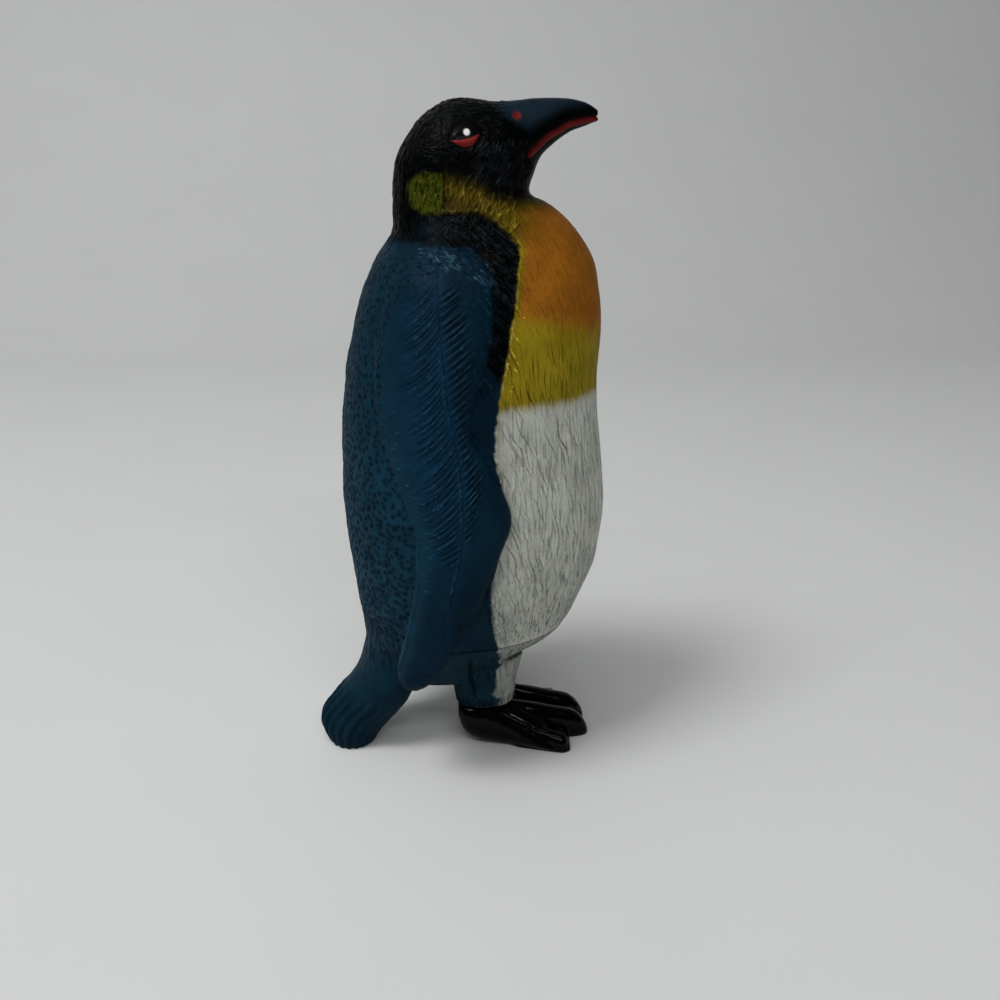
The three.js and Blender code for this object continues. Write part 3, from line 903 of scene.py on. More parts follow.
def trunk_feathers(marks, rng):
    """Feathers of back, head, neck and front, each zone with its own size and direction."""

    def lay(zone, heading, spread, half_length, width, height, keep=None, draws=rng):
        """A zone is two heights, the gaps between its rows and along them, two angles and the jitter."""
        centres = trunk_places(*zone, draws)
        if keep is not None:
            centres = centres[keep(centres[:, 1], centres[:, 2])]
        long, wide, high = (graded(size, centres[:, 2]) for size in (half_length, width, height))
        scale = draws.uniform(0.6, 1.3, len(centres))
        headings = turned(draws, len(centres), heading, spread)
        marks.add(centres, headings, long * scale, wide, high * scale)

    def off_eye(y, z, gap):
        return np.hypot(y - EYE[0], z - EYE[1]) > gap

    beside = math.pi / 2
    down = (0.0, -1.0)
    # Pits on the back, each of two crossed marks, small and round above, larger and ragged lower down
    for turn in (0.9, -0.9):
        lay((35, 120, 1.4, 1.45, 1.62, math.pi, 0.6), (math.sin(turn), -math.cos(turn)), 0.5,
            [(36, 0.5), (55, 0.32), (80, 0.14), (112, 0.06)],
            [(36, 0.33), (60, 0.31), (90, 0.27), (112, 0.24)],
            [(36, -0.34), (70, -0.3), (95, -0.27), (112, -0.2)], draws=np.random.default_rng(SEED + 2))
    # Lines that run from the back into the tail
    lay((26, 37, 2.2, 1.6, 1.9, math.pi, 0.5), down, 0.25, 1.0, 0.26, -0.26)
    # Nape and the back of the head
    lay((123, 146, 3.0, 0.85, 2.3, math.pi, 0.25), down, 0.12, 2.2, 0.22, -0.2)
    # Scribbled short feathers over the head
    lay((137, 149.8, 0.75, 0.8, 0.5, 2.3, 0.45), (1.0, -0.3), 1.1, 0.7, 0.14, 0.16,
        lambda y, z: (y > -8) & off_eye(y, z, 3.4))
    lay((136, 139, 0.9, 0.9, 1.3, 2.4, 0.35), (0.3, -1.0), 0.5, 0.9, 0.15, 0.16)
    crown_feathers(marks)
    # Slanting rows on the cheek and the throat
    lay((132.5, 142, 1.1, 0.85, 0.35, 1.5, 0.25), (-0.62, 0.78), 0.2, 1.4, 0.18, 0.34,
        lambda y, z: (y < -0.5) & off_eye(y, z, 3.2) & (z > 131.5 - y * 0.3))
    # Ear patch and collar
    lay((128, 136.5, 1.5, 0.8, beside, 2.2, 0.3), (0.12, -1.0), 0.25, 1.1, 0.2, 0.2,
        lambda y, z: y > SEAM_Y)
    lay((128.6, 136, 1.4, 1.1, beside, 2.2, 0.35), (0.12, -1.0), 0.35, 0.8, 0.18, -0.26,
        lambda y, z: y > SEAM_Y)
    lay((125.5, 136, 1.5, 0.85, 0.2, beside, 0.3), (-0.42, 1.0), 0.35, 1.4, 0.18, 0.26,
        lambda y, z: y > -10)
    lay((120, 131, 2.0, 1.3, 0.2, 1.0, 0.45), (-0.5, -0.8), 0.3, 1.3, 0.16, 0.14,
        lambda y, z: (y > -14.5) & (y <= -9.5))
    # Curved barbs on the dark side of the neck
    lay((97, 128, 2.8, 0.95, 0.75, 1.62, 0.3), (-0.66, -0.75), 0.2, 2.9, 0.2, 0.38,
        lambda y, z: (y > -10.5) & (y < 4) & (z < 128.5 + np.minimum(y, 0) * 0.45)
        & (y > -11.5 + (118 - z) * 0.21))
    # Scales that catch the light on the shoulder
    lay((114, 122.5, 1.0, 0.9, 1.2, 2.0, 0.45), (-0.8, -0.6), 0.6, 0.6, 0.14, 0.26)
    # Lines down the breast and the belly
    lines = front_lines(rng, 104, 128, 0.9, 1.0, 1.5, 6.0)
    marks.trace(lines, 0.14, -0.1, rng.uniform(0.1, 0.8, len(lines)))
    lines = front_lines(rng, 90, 105, 0.75, 1.2, 3.0, 9.0)
    marks.trace(lines, 0.15, rng.uniform(-0.3, -0.1, len(lines)), rng.uniform(0.15, 0.8, len(lines)))
    lines = front_lines(rng, 33.5, 91, 0.62, 1.62, 4.0, 14.0)
    dark = np.where(rng.uniform(0, 1, len(lines)) < 0.08, 1.0, rng.uniform(0.05, 0.5, len(lines)))
    marks.trace(lines, rng.uniform(0.12, 0.17, len(lines)), rng.uniform(-0.36, -0.15, len(lines)), dark)


def crown_feathers(marks):
    """Short feathers on the top and the rear of the crown, which the rows round the trunk leave bare."""
    rng = np.random.default_rng(SEED + 3)
    angle = rng.uniform(-math.pi, math.pi, 420)
    spread = np.where(np.abs(angle) > 1.9, 0.82, 0.5) * np.sqrt(rng.uniform(0, 1, len(angle)))
    centres = trunk_points(CROWN_BASE + CROWN_HEIGHT * np.sqrt(1 - spread**2), angle)
    way = rng.uniform(-1.0, 1.0, len(angle))
    scale = rng.uniform(0.6, 1.3, len(angle))
    headings = np.column_stack([np.sin(way), np.cos(way), 0 * way])
    marks.add(centres, headings, 0.8 * scale, 0.15, 0.17 * scale)


def blade_feathers(marks, rng):
    """Barbs on both sides of a flipper's seam, the gaps between them, scales behind, lines at the tip."""
    # The second set are grooves in the gaps between the barbs, darkened as painted shade
    for lift, wide, ahead_high, behind_high, darkening in (
        (0.0, (0.17, 0.18), 0.4, [(80, 0.38), (92, 0.24)], (1.0, 1.0)),
        (0.7, (0.15, 0.15), -0.24, [(80, -0.24), (92, -0.16)], (0.55, 0.6)),
    ):
        ahead, behind, starts = barbs(rng, lift)
        marks.trace(ahead, wide[0], ahead_high, darkening[0])
        marks.trace(behind, wide[1], graded(behind_high, starts), darkening[1])
    face, share = blade_places(0.0, 1.1, 2.4, rng)
    face = face[(share > 0.04) & (share < 0.26) & (face[:, 2] > 44) & (face[:, 2] < 92)]
    high = rng.uniform(0.08, 0.24, len(face))
    headings = turned(rng, len(face), (-1.0, 0.1), 0.22)
    marks.add(face, headings, rng.uniform(0.7, 1.3, len(face)), 0.28, high)
    face, share = blade_places(0.7, 1.5, 3.4, rng)
    face = face[(share > 0.76) & (face[:, 2] <= 47) & (face[:, 2] > 26)]
    headings = turned(rng, len(face), (-0.75, 0.66), 0.12)
    marks.add(face, headings, rng.uniform(1.2, 2.4, len(face)), 0.22, -0.2, 0.4)


def body_features(points):
    """Eyes, lids, mouth, nostrils, collar, flipper edge and breast bead, as heights over the skin."""
    side = points[:, 1:]
    y, z = side.T
    height = np.zeros(len(points))
    head = z > HEAD_Z
    along, up = eye_place(side)
    height += head * 0.28 * np.sqrt(np.clip(eye_ball(along, up, *EYE_RELIEF), 0, 1))
    ring = np.hypot(along / 3.3, (up - 0.1) / 2.3)
    height -= head * 0.1 * bump((ring - 1) * 2.6, 0.42)
    height += head * 0.34 * np.sqrt(np.clip(lid_depth(side) / 0.55, 0, 1)) * (np.abs(along) < LID_HALF)
    beak = smoothstep(-0.4, 0.4, outline_distance(side, BILL_ZONE))
    over, _ = mouth_place(side)
    height -= beak * 0.35 * bump(over - 0.05, 0.3)
    height += beak * 0.24 * bump(over + 0.6, 0.45)
    height -= head * 0.2 * smoothstep(NOSTRIL_RADIUS * 1.3, 0, nostril_gap(side))
    # A thin bead along the foot of the collar
    front = y < SEAM_Y
    foot, _ = line_distance(side, COLLAR_FOOT)
    height += front * 0.3 * bump(foot, 0.4)
    # The rear edge of a flipper is a thin raised line
    share, over = blade_share(points)
    near = (share > -0.06) & (share < 0.2) & (z > 30) & (z < 100)
    wave = 0.35 * lattice_noise(points, 4.0, 3)
    height += near * 0.45 * bump(share * 17 - 0.75 - wave, 0.34)
    # A rounded bead along the edge of the breast
    edge, _ = line_distance(side, CHEST_EDGE[5:])
    height += front * (over < 0.4) * 0.3 * bump(edge - 0.2, 0.5)
    return height


def seam_crest(points):
    """Share of the thin raised line that the shells' seam leaves down each flipper."""
    _, y, z = points.T
    along = smoothstep(46, 52, z) * smoothstep(114, 108, z)
    broken = smoothstep(-0.7, 0.2, lattice_noise(points * np.array([1, 0, 1]), 7.0, 5))
    return along * broken * bump(y - seam_at(z) - 0.32, 0.3)


def seam_dip(points):
    """The shells' edges are a little rounded, with a raised line down the flippers."""
    away = points[:, 1] - seam_at(points[:, 2])
    return -0.1 * bump(away, 0.3) + 0.24 * seam_crest(points)


class Ground:
    """What the body's paint goes by: places, marks, noises, paint outlines and the flippers' own part."""

    def __init__(self, points, marks):
        self.points = points
        self.marks = marks
        self.side = points[:, 1:]
        self.y, self.z = self.side.T
        self.rear = self.y > SEAM_Y
        self.head = self.z > HEAD_Z
        self.ragged = lattice_noise(points, 1.1, 21)
        self.cloudy = lattice_noise(points, 5.0, 22)
        self.fine = lattice_noise(points, 0.55, 23)
        self.share, over = blade_share(points)
        self.blade = smoothstep(-0.1, 0.5, over) * ((self.share > -0.02) & (self.share < 1.06))
        self.hood = outline_distance(self.side, HOOD)
        self.front = outline_distance(self.side, FRONT_PAINT)

    def wear_and_highlight(self, height):
        """How far the marks stand out, as a share of a height; it sets where raised marks get lighter paint
        and painted highlights.
        """
        return np.clip(self.marks / height, 0, 1)


def dark_coat(at):
    """Blue back and flippers, the black hood and the green ear patch, with painted shade on the flippers'
    fronts and painted highlights on the hood's barbs and the shoulder.
    """
    y, z, ragged, cloudy = at.y, at.z, at.ragged, at.cloudy
    colour = mixed(BLUE, FLIPPER_BLUE, at.blade * smoothstep(-0.05, 0.3, at.share))
    # Painted shade: ahead of the seam the flippers and the trunk beside them turn a darker blue, as on the
    # side turned away from the light
    colour = mixed(colour, FLIPPER_FRONT_PAINTED_SHADE, smoothstep(0.0, 3.0, seam_at(z) - y) * 0.85)
    # Colour strength by height; the back and tail get darker low down as painted shade under the body
    spray_and_shade = graded(BACK_SPRAY_AND_SHADE, z)
    spray_and_shade = spray_and_shade + (graded(BLADE_SPRAY, z) - spray_and_shade) * at.blade * smoothstep(-0.05, 0.4, at.share)
    colour = colour * ((1 + 0.12 * cloudy) * spray_and_shade)[:, None]
    hood = smoothstep(-0.9, 0.9, at.hood + 0.5 * ragged + 0.4 * cloudy) * (1 - at.blade)
    nape = smoothstep(SEAM_Y - 4, SEAM_Y + 3, y) * smoothstep(13, 9, y)
    hood = hood * (1 - 0.2 * nape * smoothstep(129, 125, z))
    colour = mixed(colour, mixed(BLACK, BAND_BLACK, smoothstep(118, 108, z)), hood)
    # Painted highlight: raised barbs and cheek strokes on the hood are made grey where light would catch
    # them
    cheek = smoothstep(-10, -8, y) * smoothstep(-0.5, -2, y) * (z > 131)
    wear_and_highlight = hood * at.wear_and_highlight(0.3) * smoothstep(104, 112, z)
    colour = mixed(colour, BARB_PAINTED_HIGHLIGHT, wear_and_highlight * smoothstep(-0.5, 0.6, ragged) * (0.38 + 0.35 * cheek))
    ear = at.rear * smoothstep(-0.7, 0.9, outline_distance(at.side, EAR_PATCH) + 0.5 * ragged)
    colour = mixed(colour, EAR_GREEN, ear * (0.85 + 0.15 * at.fine))
    # Painted highlight: the raised scales on the shoulder get a lighter blue where light would glint on them
    shoulder = smoothstep(113, 117, z) * smoothstep(123, 121, z) * (1 - hood)
    return mixed(colour, GLINT, shoulder * at.wear_and_highlight(0.2) * smoothstep(-0.1, 0.6, cloudy + ragged) * 0.26)


def front_coat(at, colour):
    """Front colours, from the collar down to the belly, over the dark coat, and how far they cover it."""
    y, z, ragged, cloudy, front = at.y, at.z, at.ragged, at.cloudy, at.front
    soft = graded(FRONT_SOFTNESS, z)
    covers = (~at.rear) * smoothstep(-soft, soft, front + 0.15 * ragged + 0.2 * at.fine)
    covers *= 1 - at.blade
    above = z - 106.5 - 0.28 * (y + 18)
    orange = smoothstep(0.2, 1.9, front + 0.4 * ragged) * smoothstep(-3.4, 3.4, above + 0.5 * cloudy)
    breast = mixed(YELLOW, ORANGE, orange) * graded(BREAST_SPRAY, z)[:, None]
    collar = smoothstep(-18, -8, y + ragged) * smoothstep(120.5, 126, z)
    breast = mixed(breast, COLLAR_YELLOW, collar)
    breast = mixed(breast, COLLAR_GOLD, collar * at.wear_and_highlight(0.25) * 0.6)
    top = smoothstep(4.5, -0.5, front + 0.6 * ragged) * smoothstep(126, 130.5, z)
    breast = mixed(breast, BLACK, top * 0.85)
    streak = lattice_noise(at.points * np.array([1, 1, 0.22]), 0.9, 24)
    white = smoothstep(-1.5, 1.5, BELLY_TOP - z + 0.35 * streak + 0.25 * ragged + 0.3 * cloudy)
    # The belly gets darker towards its bottom as painted shade
    spray_and_shade = graded(BELLY_SPRAY_AND_SHADE, z)
    spray_and_shade *= 1 - 0.3 * smoothstep(5.0, 0.8, front) * smoothstep(-0.6, 0.5, streak)
    breast = mixed(breast, WHITE * spray_and_shade[:, None], white)
    colour = mixed(colour, breast, covers)
    rim = (~at.rear) * (1 - at.blade) * bump(front - 0.3, 0.28)
    rim *= smoothstep(60, 68, z) * smoothstep(118, 110, z)
    return mixed(colour, RIM, rim * smoothstep(-0.5, 0.4, ragged) * 0.4), covers


def face_coat(at, colour):
    """Bill, lips, nostril, eye and lid over the other colours, and how far each of the main ones covers."""
    on_bill = outline_distance(at.side, BILL_ZONE)
    height, share = mouth_place(at.side)
    back = 3.2 * smoothstep(143.5, 147.5, at.z)
    beak = smoothstep(-0.8, 2.4, (on_bill + 0.3 * at.ragged + back) / (1 + 0.2 * back))
    # The bill is slate on top and black towards the mouth; the lighter slate on top is partly painted sheen
    colour = mixed(colour, mixed(BILL_SLATE_AND_SHEEN, BLACK, smoothstep(4.8, 1.4, height)), beak)
    lip = graded(LIP, share)
    inside = smoothstep(-1.0, -0.4, on_bill)
    away = np.abs(height + lip * 0.58) - lip * 0.44 + 0.12 * at.fine
    lips = inside * smoothstep(LIP_SOFTNESS, -LIP_SOFTNESS, away)
    colour = mixed(colour, RED * 0.85, lips)
    colour = mixed(colour, DEEP_RED, inside * bump(height, 0.25) * 0.6)
    colour = mixed(colour, DEEP_RED, lips * smoothstep(-0.75, -0.4, height / lip) * 0.6)
    hole = nostril_gap(at.side) + 0.25 * at.ragged
    spot = at.head * smoothstep(NOSTRIL_RADIUS + 0.5, NOSTRIL_RADIUS - 0.5, hole)
    colour = mixed(colour, RED * 0.7, spot)
    along, up = eye_place(at.side)
    eye = at.head * smoothstep(-0.1, 0.1, eye_ball(along, up, *EYE_PAINT))
    colour = mixed(colour, EYE_BLACK, eye)
    lid = at.head * smoothstep(-0.15, 0.2, lid_depth(at.side)) * (np.abs(along) < LID_HALF)
    colour = mixed(colour, RED, lid)
    spark = at.head * smoothstep(0.74, 0.48, np.hypot(along - 0.05, up - 0.45))
    return mixed(colour, EYE_SPARK, spark), beak, lips, eye, lid


def body_paint(skin, marks, wash_and_shade):
    at = Ground(skin.points, marks)
    colour, covers = front_coat(at, dark_coat(at))
    colour, beak, lips, eye, lid = face_coat(at, colour)
    # Roughness: vinyl and the front are satin, hood and bill smoother, the eye and lips glossy
    rough = 0.48 + 0.05 * at.cloudy - 0.16 * smoothstep(-0.9, 0.9, at.hood)
    rough = rough + (0.46 - rough) * covers
    rough = rough + (0.4 - rough) * beak
    rough = rough + (0.16 - rough) * np.maximum(eye, 0.5 * lips)
    quiet = 1 - np.maximum.reduce([eye, lid, lips])
    skin.marks["paint"] = np.clip(colour, 0, 1)
    skin.marks["gloss"] = rough
    # Grooves are darkened in the material, partly dark paint and partly painted shade
    skin.marks["groove"] = np.clip(wash_and_shade, 0, 1) * quiet
    # Raised marks and the seam's raised line are lightened in the material, partly dry brush paint and
    # partly painted highlight
    skin.marks["ridge_highlight"] = np.clip(marks / 0.25 + 0.8 * seam_crest(skin.points), 0, 1) * quiet
    skin.marks["streak"] = covers * smoothstep(112, 96, at.z)


def body():
    skin = body_skin()
    skin.keep_lay(LAY_ROUNDS)
    marks, wash_and_shade = lay_feathers(skin)
    points = skin.points
    side = points[:, 1:]
    # No feathers on the bill and round the eye
    calm = 1 - smoothstep(-1.0, 0.5, outline_distance(side, BILL_ZONE))
    along, up = eye_place(side)
    calm *= smoothstep(2.2, 3.4, np.hypot(along, up * 1.3)) + (points[:, 2] < HEAD_Z)
    marks = marks * np.clip(calm, 0, 1) * (0.85 + 0.4 * lattice_noise(points, 0.8, 33))
    relief = marks + body_features(points) + seam_dip(points)
    breast = smoothstep(-0.5, 1.0, outline_distance(side, FRONT_PAINT))
    grain = (0.05 - 0.03 * breast) * lattice_noise(points, 0.9, 31)
    relief += (grain + 0.14 * lattice_noise(points, 6.0, 32)) * (0.3 + 0.7 * calm)
    body_paint(skin, marks, wash_and_shade * calm)
    skin.raise_by(relief * smoothstep(0.05, 1.0, points[:, 2]))
    return skin


# Leg unit


def leg_skin():
    lower = cut(trunk(), prism(leg_bay(-WAIST_GAP / 2)), "INTERSECT")
    skin = remeshed([lower, leg_column(-1), leg_column(1)], VOXEL)
    skin.smooth(4)
    return skin


def leg_feathers(skin):
    """Lines down the lower belly and a fringe round the hem of each leg."""
    rng = np.random.default_rng(SEED + 1)
    marks = Strokes(skin)
    centres = trunk_places(19, 31, 2.6, 1.6, 0.0, 1.35, 0.4, rng)
    marks.add(centres, turned(rng, len(centres), (0.0, -1.0), 0.3), 1.4, 0.3, -0.22)
    turn = rng.uniform(0, 2 * math.pi, HEM_MARKS)
    wide, long = HEM_HALF
    for leg in (-1, 1):
        x = leg * LEG_X + wide * np.cos(turn)
        y = LEG_Y + long * np.sin(turn)
        ring = np.column_stack([x, y, np.full(HEM_MARKS, HEM_Z + 1.3)])
        marks.add(ring, (0, 0, -1.0), rng.uniform(0.7, 1.6, HEM_MARKS), 0.26, -0.3)
    return marks.heights()


def legs():
    skin = leg_skin()
    skin.keep_lay(LAY_ROUNDS)
    points = skin.points
    side = points[:, 1:]
    z = points[:, 2]
    height, wash_and_shade = leg_feathers(skin)
    crease, _ = line_distance(side, CREASE)
    outer = np.abs(points[:, 0]) > 6
    height -= outer * 0.6 * bump(crease, 0.5)
    height += 0.05 * lattice_noise(points, 0.9, 41) + 0.15 * lattice_noise(points, 5.0, 42)
    height *= smoothstep(WAIST_Z - 0.2, WAIST_Z - 0.8, z) * smoothstep(HEM_Z, HEM_Z + 0.4, z)
    ragged = lattice_noise(points, 1.6, 43)
    fine = lattice_noise(points, 0.6, 44)
    streak = lattice_noise(points * np.array([1, 1, 0.35]), 0.8, 45)
    front = outline_distance(side, FRONT_PAINT)
    covers = smoothstep(-0.35, 0.35, front + 0.9 * ragged + 0.5 * fine + 0.3)
    wear_and_highlight = smoothstep(0.0, 0.7, streak + 0.3 * fine)
    # Painted shade: the leg unit's blue and its white at about half strength are darker than the body's, for
    # the shade under the body
    colour = LEG_BLUE_WITH_SHADE * (1 + 0.1 * ragged)[:, None]
    colour = mixed(colour, WHITE * 0.48, covers * (1 - 0.25 * wear_and_highlight))
    skin.marks["paint"] = np.clip(colour, 0, 1)
    skin.marks["gloss"] = 0.5 + 0.05 * ragged
    # The crease is darkened as painted shade; the marks' darkening is partly dark paint and partly painted
    # shade
    skin.marks["groove"] = np.clip(wash_and_shade + outer * bump(crease, 0.5), 0, 1)
    skin.marks["ridge_highlight"] = np.zeros(len(points))
    skin.marks["streak"] = covers
    skin.raise_by(height)
    return skin


# Feet


def rounded_section(inner, outer, low, high, corner):
    """Closed sections across the foot as places across and heights; a smaller corner is squarer."""
    turn = full_turn(56)
    across = np.sign(np.cos(turn)) * np.abs(np.cos(turn)) ** corner
    up = np.sign(np.sin(turn)) * np.abs(np.sin(turn)) ** corner
    return (inner + outer) / 2 + (outer - inner) / 2 * across, (low + high) / 2 + (high - low) / 2 * up


def instep(side):
    forward = steps(INSTEP[0][0], INSTEP[-1][0], 0.5)[:, None]
    inner, outer, low, high = sizes_at(INSTEP, forward)
    across, up = rounded_section(inner, outer, low, high, 0.95)
    # The top slopes away to a lower outer shoulder
    span = np.clip((across - inner) / (outer - inner), 0, 1)
    crown = np.clip((up - low) / (high - low), 0, 1)
    up = up - graded(SHOULDER_DROP, forward) * span**2 * smoothstep(0.2, 0.7, crown)
    return loft(np.stack([side * across, 0 * across - forward, up], axis=-1))


def toe(side, size):
    """A toe that grows out of the instep and rounds off towards its tip."""
    root_x, root_forward, tip_x, tip_forward, half, tall, rounds_from = size
    share = np.linspace(0, 1, 48)[:, None]
    root = np.array([root_x, root_forward])
    tip = np.array([tip_x, tip_forward])
    along = (tip - root) / np.linalg.norm(tip - root)
    across = np.array([-along[1], along[0]])
    blunt = np.sqrt(np.maximum(1 - (np.maximum(share - rounds_from, 0) / (1 - rounds_from)) ** 2, 0.03))
    grown = smoothstep(0, 0.4, share)
    wide = half * blunt * (0.5 + 0.5 * grown)
    high = tall * (1.5 - 0.75 * share) * blunt
    offset, up = rounded_section(-wide, wide, 2.5 - 4.0 * grown, high, 0.85)
    middle = root + (tip - root) * share
    x = middle[:, :1] + across[0] * offset
    forward = middle[:, 1:] + across[1] * offset
    return loft(np.stack([side * x, -forward, up], axis=-1))


def foot(side):
    skin = remeshed([instep(side), *(toe(side, size) for size in TOES)], FOOT_VOXEL)
    skin.smooth(14)
    skin.keep_lay(0)
    points = skin.points
    z = points[:, 2]
    forward = -points[:, 1]
    height = 0.03 * lattice_noise(points, 1.2, 51) + 0.1 * lattice_noise(points, 4.0, 52)
    upper = smoothstep(0.15, 0.6, skin.marks["lay"][:, 2])
    # Long fine ridges on the outer side of the foot, along its outer toe
    root_x, root_forward, tip_x, tip_forward = TOES[0][:4]
    slope = (tip_x - root_x) / (tip_forward - root_forward)
    track = side * points[:, 0] - root_x - slope * (forward - root_forward)
    ribbed = bump(track - 1.7, 1.3) * smoothstep(7, 10, forward) * smoothstep(20, 17, forward)
    height += upper * FOOT_RIB_HEIGHT * ribbed * np.cos(track * 2 * math.pi / FOOT_RIB_GAP)
    height *= smoothstep(0.0, 0.8, z) * smoothstep(FOOT_TOP, FOOT_TOP - 0.8, z)
    skin.raise_by(height)
    return skin


# Pieces

# Kinds of marks on a mesh: the field that holds the numbers, and how many there are
MARK_KINDS = {"FLOAT": ("value", 1), "FLOAT_VECTOR": ("vector", 3), "FLOAT_COLOR": ("color", 4)}


def add_marks(mesh, marks):
    for name, values in marks.items():
        kind = "FLOAT"
        if name == "lay":
            kind = "FLOAT_VECTOR"
        elif name == "paint":
            kind = "FLOAT_COLOR"
            values = np.column_stack([values, np.ones(len(values))])
        mark = mesh.attributes.new(name, kind, "POINT")
        mark.data.foreach_set(MARK_KINDS[kind][0], values.astype(np.float32).ravel())


def read_mark(mesh, name):
    mark = mesh.attributes[name]
    field, size = MARK_KINDS[mark.data_type]
    return read_all(mark.data, field, np.float32, size), field


def fill_cut_edge(mesh, names):
    """New points along a cut have no marks, so each takes those of its nearest neighbour."""
    lay, _ = read_mark(mesh, "lay")
    bare = np.linalg.norm(lay, axis=1) < 0.05
    if not bare.any():
        return
    places = vertex_places(mesh)
    y = places[:, 1]
    known = np.flatnonzero(~bare & (y > y[bare].min() - 1) & (y < y[bare].max() + 1))
    source, _ = find_nearest(point_tree(places, known), places[bare])
    for name in names:
        values, field = read_mark(mesh, name)
        values[bare] = values[source]
        mesh.attributes[name].data.foreach_set(field, values.ravel())


def box_map(mesh):
    """A flat map of the piece: six views of it laid side by side, turned faces apart from the near ones."""
    lay, _ = read_mark(mesh, "lay")
    places = vertex_places(mesh)
    corners = read_all(mesh.loops, "vertex_index", np.int32)
    totals = read_all(mesh.polygons, "loop_total", np.int32)
    owner = np.repeat(np.arange(len(totals)), totals)
    facing = np.stack([np.bincount(owner, lay[corners, i], len(totals)) for i in range(3)], axis=1)
    middle_x = np.bincount(owner, places[corners, 0], len(totals)) / totals
    axis = np.argmax(np.abs(facing), axis=1)
    way = facing[np.arange(len(axis)), axis] > 0
    turned_in = (axis == 0) & (way != (middle_x > 0))
    chart = axis * 4 + way * 2 + turned_in
    uv = np.zeros((len(corners), 2))
    left = 0.0
    tall = 0.0
    for key in np.unique(chart):
        mine = (chart == key)[owner]
        planes = [i for i in (0, 1, 2) if i != key // 4]
        flat = places[corners[mine]][:, planes]
        flat = flat - flat.min(0)
        uv[mine] = flat + np.array([left, 0])
        left += flat[:, 0].max() + 1.0 * MM
        tall = max(tall, flat[:, 1].max())
    uv = uv / max(left, tall)
    mesh.uv_layers.new(name="OFBake").data.foreach_set("uv", uv.astype(np.float32).ravel())


def finished(piece, node, material):
    """Moves a piece into the shared frame, maps it, gives it its material, hangs it under the root and hides
    the part it stands for.
    """
    mesh = piece.data
    mesh.transform(Matrix.Diagonal((MM, MM, MM, 1)) @ Matrix.Translation((0, SHIFT_Y, 0)))
    mesh.shade_smooth()
    mesh.set_sharp_from_angle(angle=math.radians(75))
    box_map(mesh)
    mesh.materials.clear()
    mesh.materials.append(material)
    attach(piece, "root")
    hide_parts(node)


def whole(name, skin):
    """A piece made of a whole skin."""
    piece = mesh_object(name, skin.points, skin.faces.tolist())
    add_marks(piece.data, skin.marks)
    return piece


def trimmed(name, skin, zone):
    """A piece made of the part of a skin that lies in a zone of the side plane."""
    mesh = cut_mesh(whole("whole", skin), prism(zone), "INTERSECT")
    fill_cut_edge(mesh, skin.marks)
    mesh.name = name
    return in_scene(name, mesh)


def shells():
    skin = body()
    z = np.arange(CUT_LOW, CUT_HIGH + 1, 1.5)
    y = seam_at(z)
    half = SEAM_GAP / 2
    front = [(-CUT_FAR, CUT_HIGH), (-CUT_FAR, CUT_LOW), *zip(y - half, z)]
    rear = [(CUT_REAR, CUT_LOW), (CUT_REAR, CUT_HIGH), *zip((y + half)[::-1], z[::-1])]
    return trimmed("front_shell_skin", skin, front), trimmed("rear_shell_skin", skin, rear)


# Materials


class Nodes:
    """A material's node tree, built in a few short calls."""

    def __init__(self, name):
        self.material = bpy.data.materials.new(name)
        self.material.use_nodes = True
        self.tree = self.material.node_tree
        self.shader = self.tree.nodes["Principled BSDF"]
        self.place = self.add("ShaderNodeTexCoord", {}, "Object")

    def link(self, source, socket):
        """A plain value is set on the socket, and another node's output is linked to it."""
        if isinstance(source, (int, float, tuple)):
            socket.default_value = source
        else:
            self.tree.links.new(source, socket)

    def surface(self, **sources):
        """Sets the shader's own sockets, named with _ for each space."""
        for name, source in sources.items():
            self.link(source, self.shader.inputs[name.replace("_", " ")])

    def add(self, kind, inputs, output=0, **settings):
        """A new node with its settings and inputs; gives one of its outputs."""
        made = self.tree.nodes.new(kind)
        for key, value in settings.items():
            setattr(made, key, value)
        for socket, source in inputs.items():
            self.link(source, made.inputs[socket])
        return made.outputs[output]

    def mark(self, name, output="Fac"):
        return self.add("ShaderNodeAttribute", {}, output, attribute_name=name)

    def noise(self, size, detail, stretch=None):
        """Noise with features of about the given size in millimetres."""
        place = self.place
        if stretch:
            place = self.add("ShaderNodeMapping", {"Vector": place, "Scale": stretch}, "Vector")
        inputs = {"Vector": place, "Scale": 1 / (size * MM), "Detail": detail}
        return self.add("ShaderNodeTexNoise", inputs, "Fac")

    def math(self, operation, a, b):
        return self.add("ShaderNodeMath", {0: a, 1: b}, operation=operation, use_clamp=True)

    def ramp(self, value, low, high, to_low, to_high):
        inputs = {"Value": value, "From Min": low, "From Max": high, "To Min": to_low, "To Max": to_high}
        return self.add("ShaderNodeMapRange", inputs, "Result", interpolation_type="SMOOTHSTEP")

    def blend(self, kind, share, a, b):
        return self.add("ShaderNodeMix", {0: share, 6: a, 7: b}, 2, data_type="RGBA", blend_type=kind)

    def shaded(self, colour, value, share=1.0):
        """A colour times a plain value."""
        grey = self.add("ShaderNodeCombineColor", {0: value, 1: value, 2: value})
        return self.blend("MULTIPLY", share, colour, grey)

    def bump(self, height, distance, strength):
        inputs = {"Height": height, "Distance": distance * MM, "Strength": strength}
        self.surface(Normal=self.add("ShaderNodeBump", inputs, "Normal"))


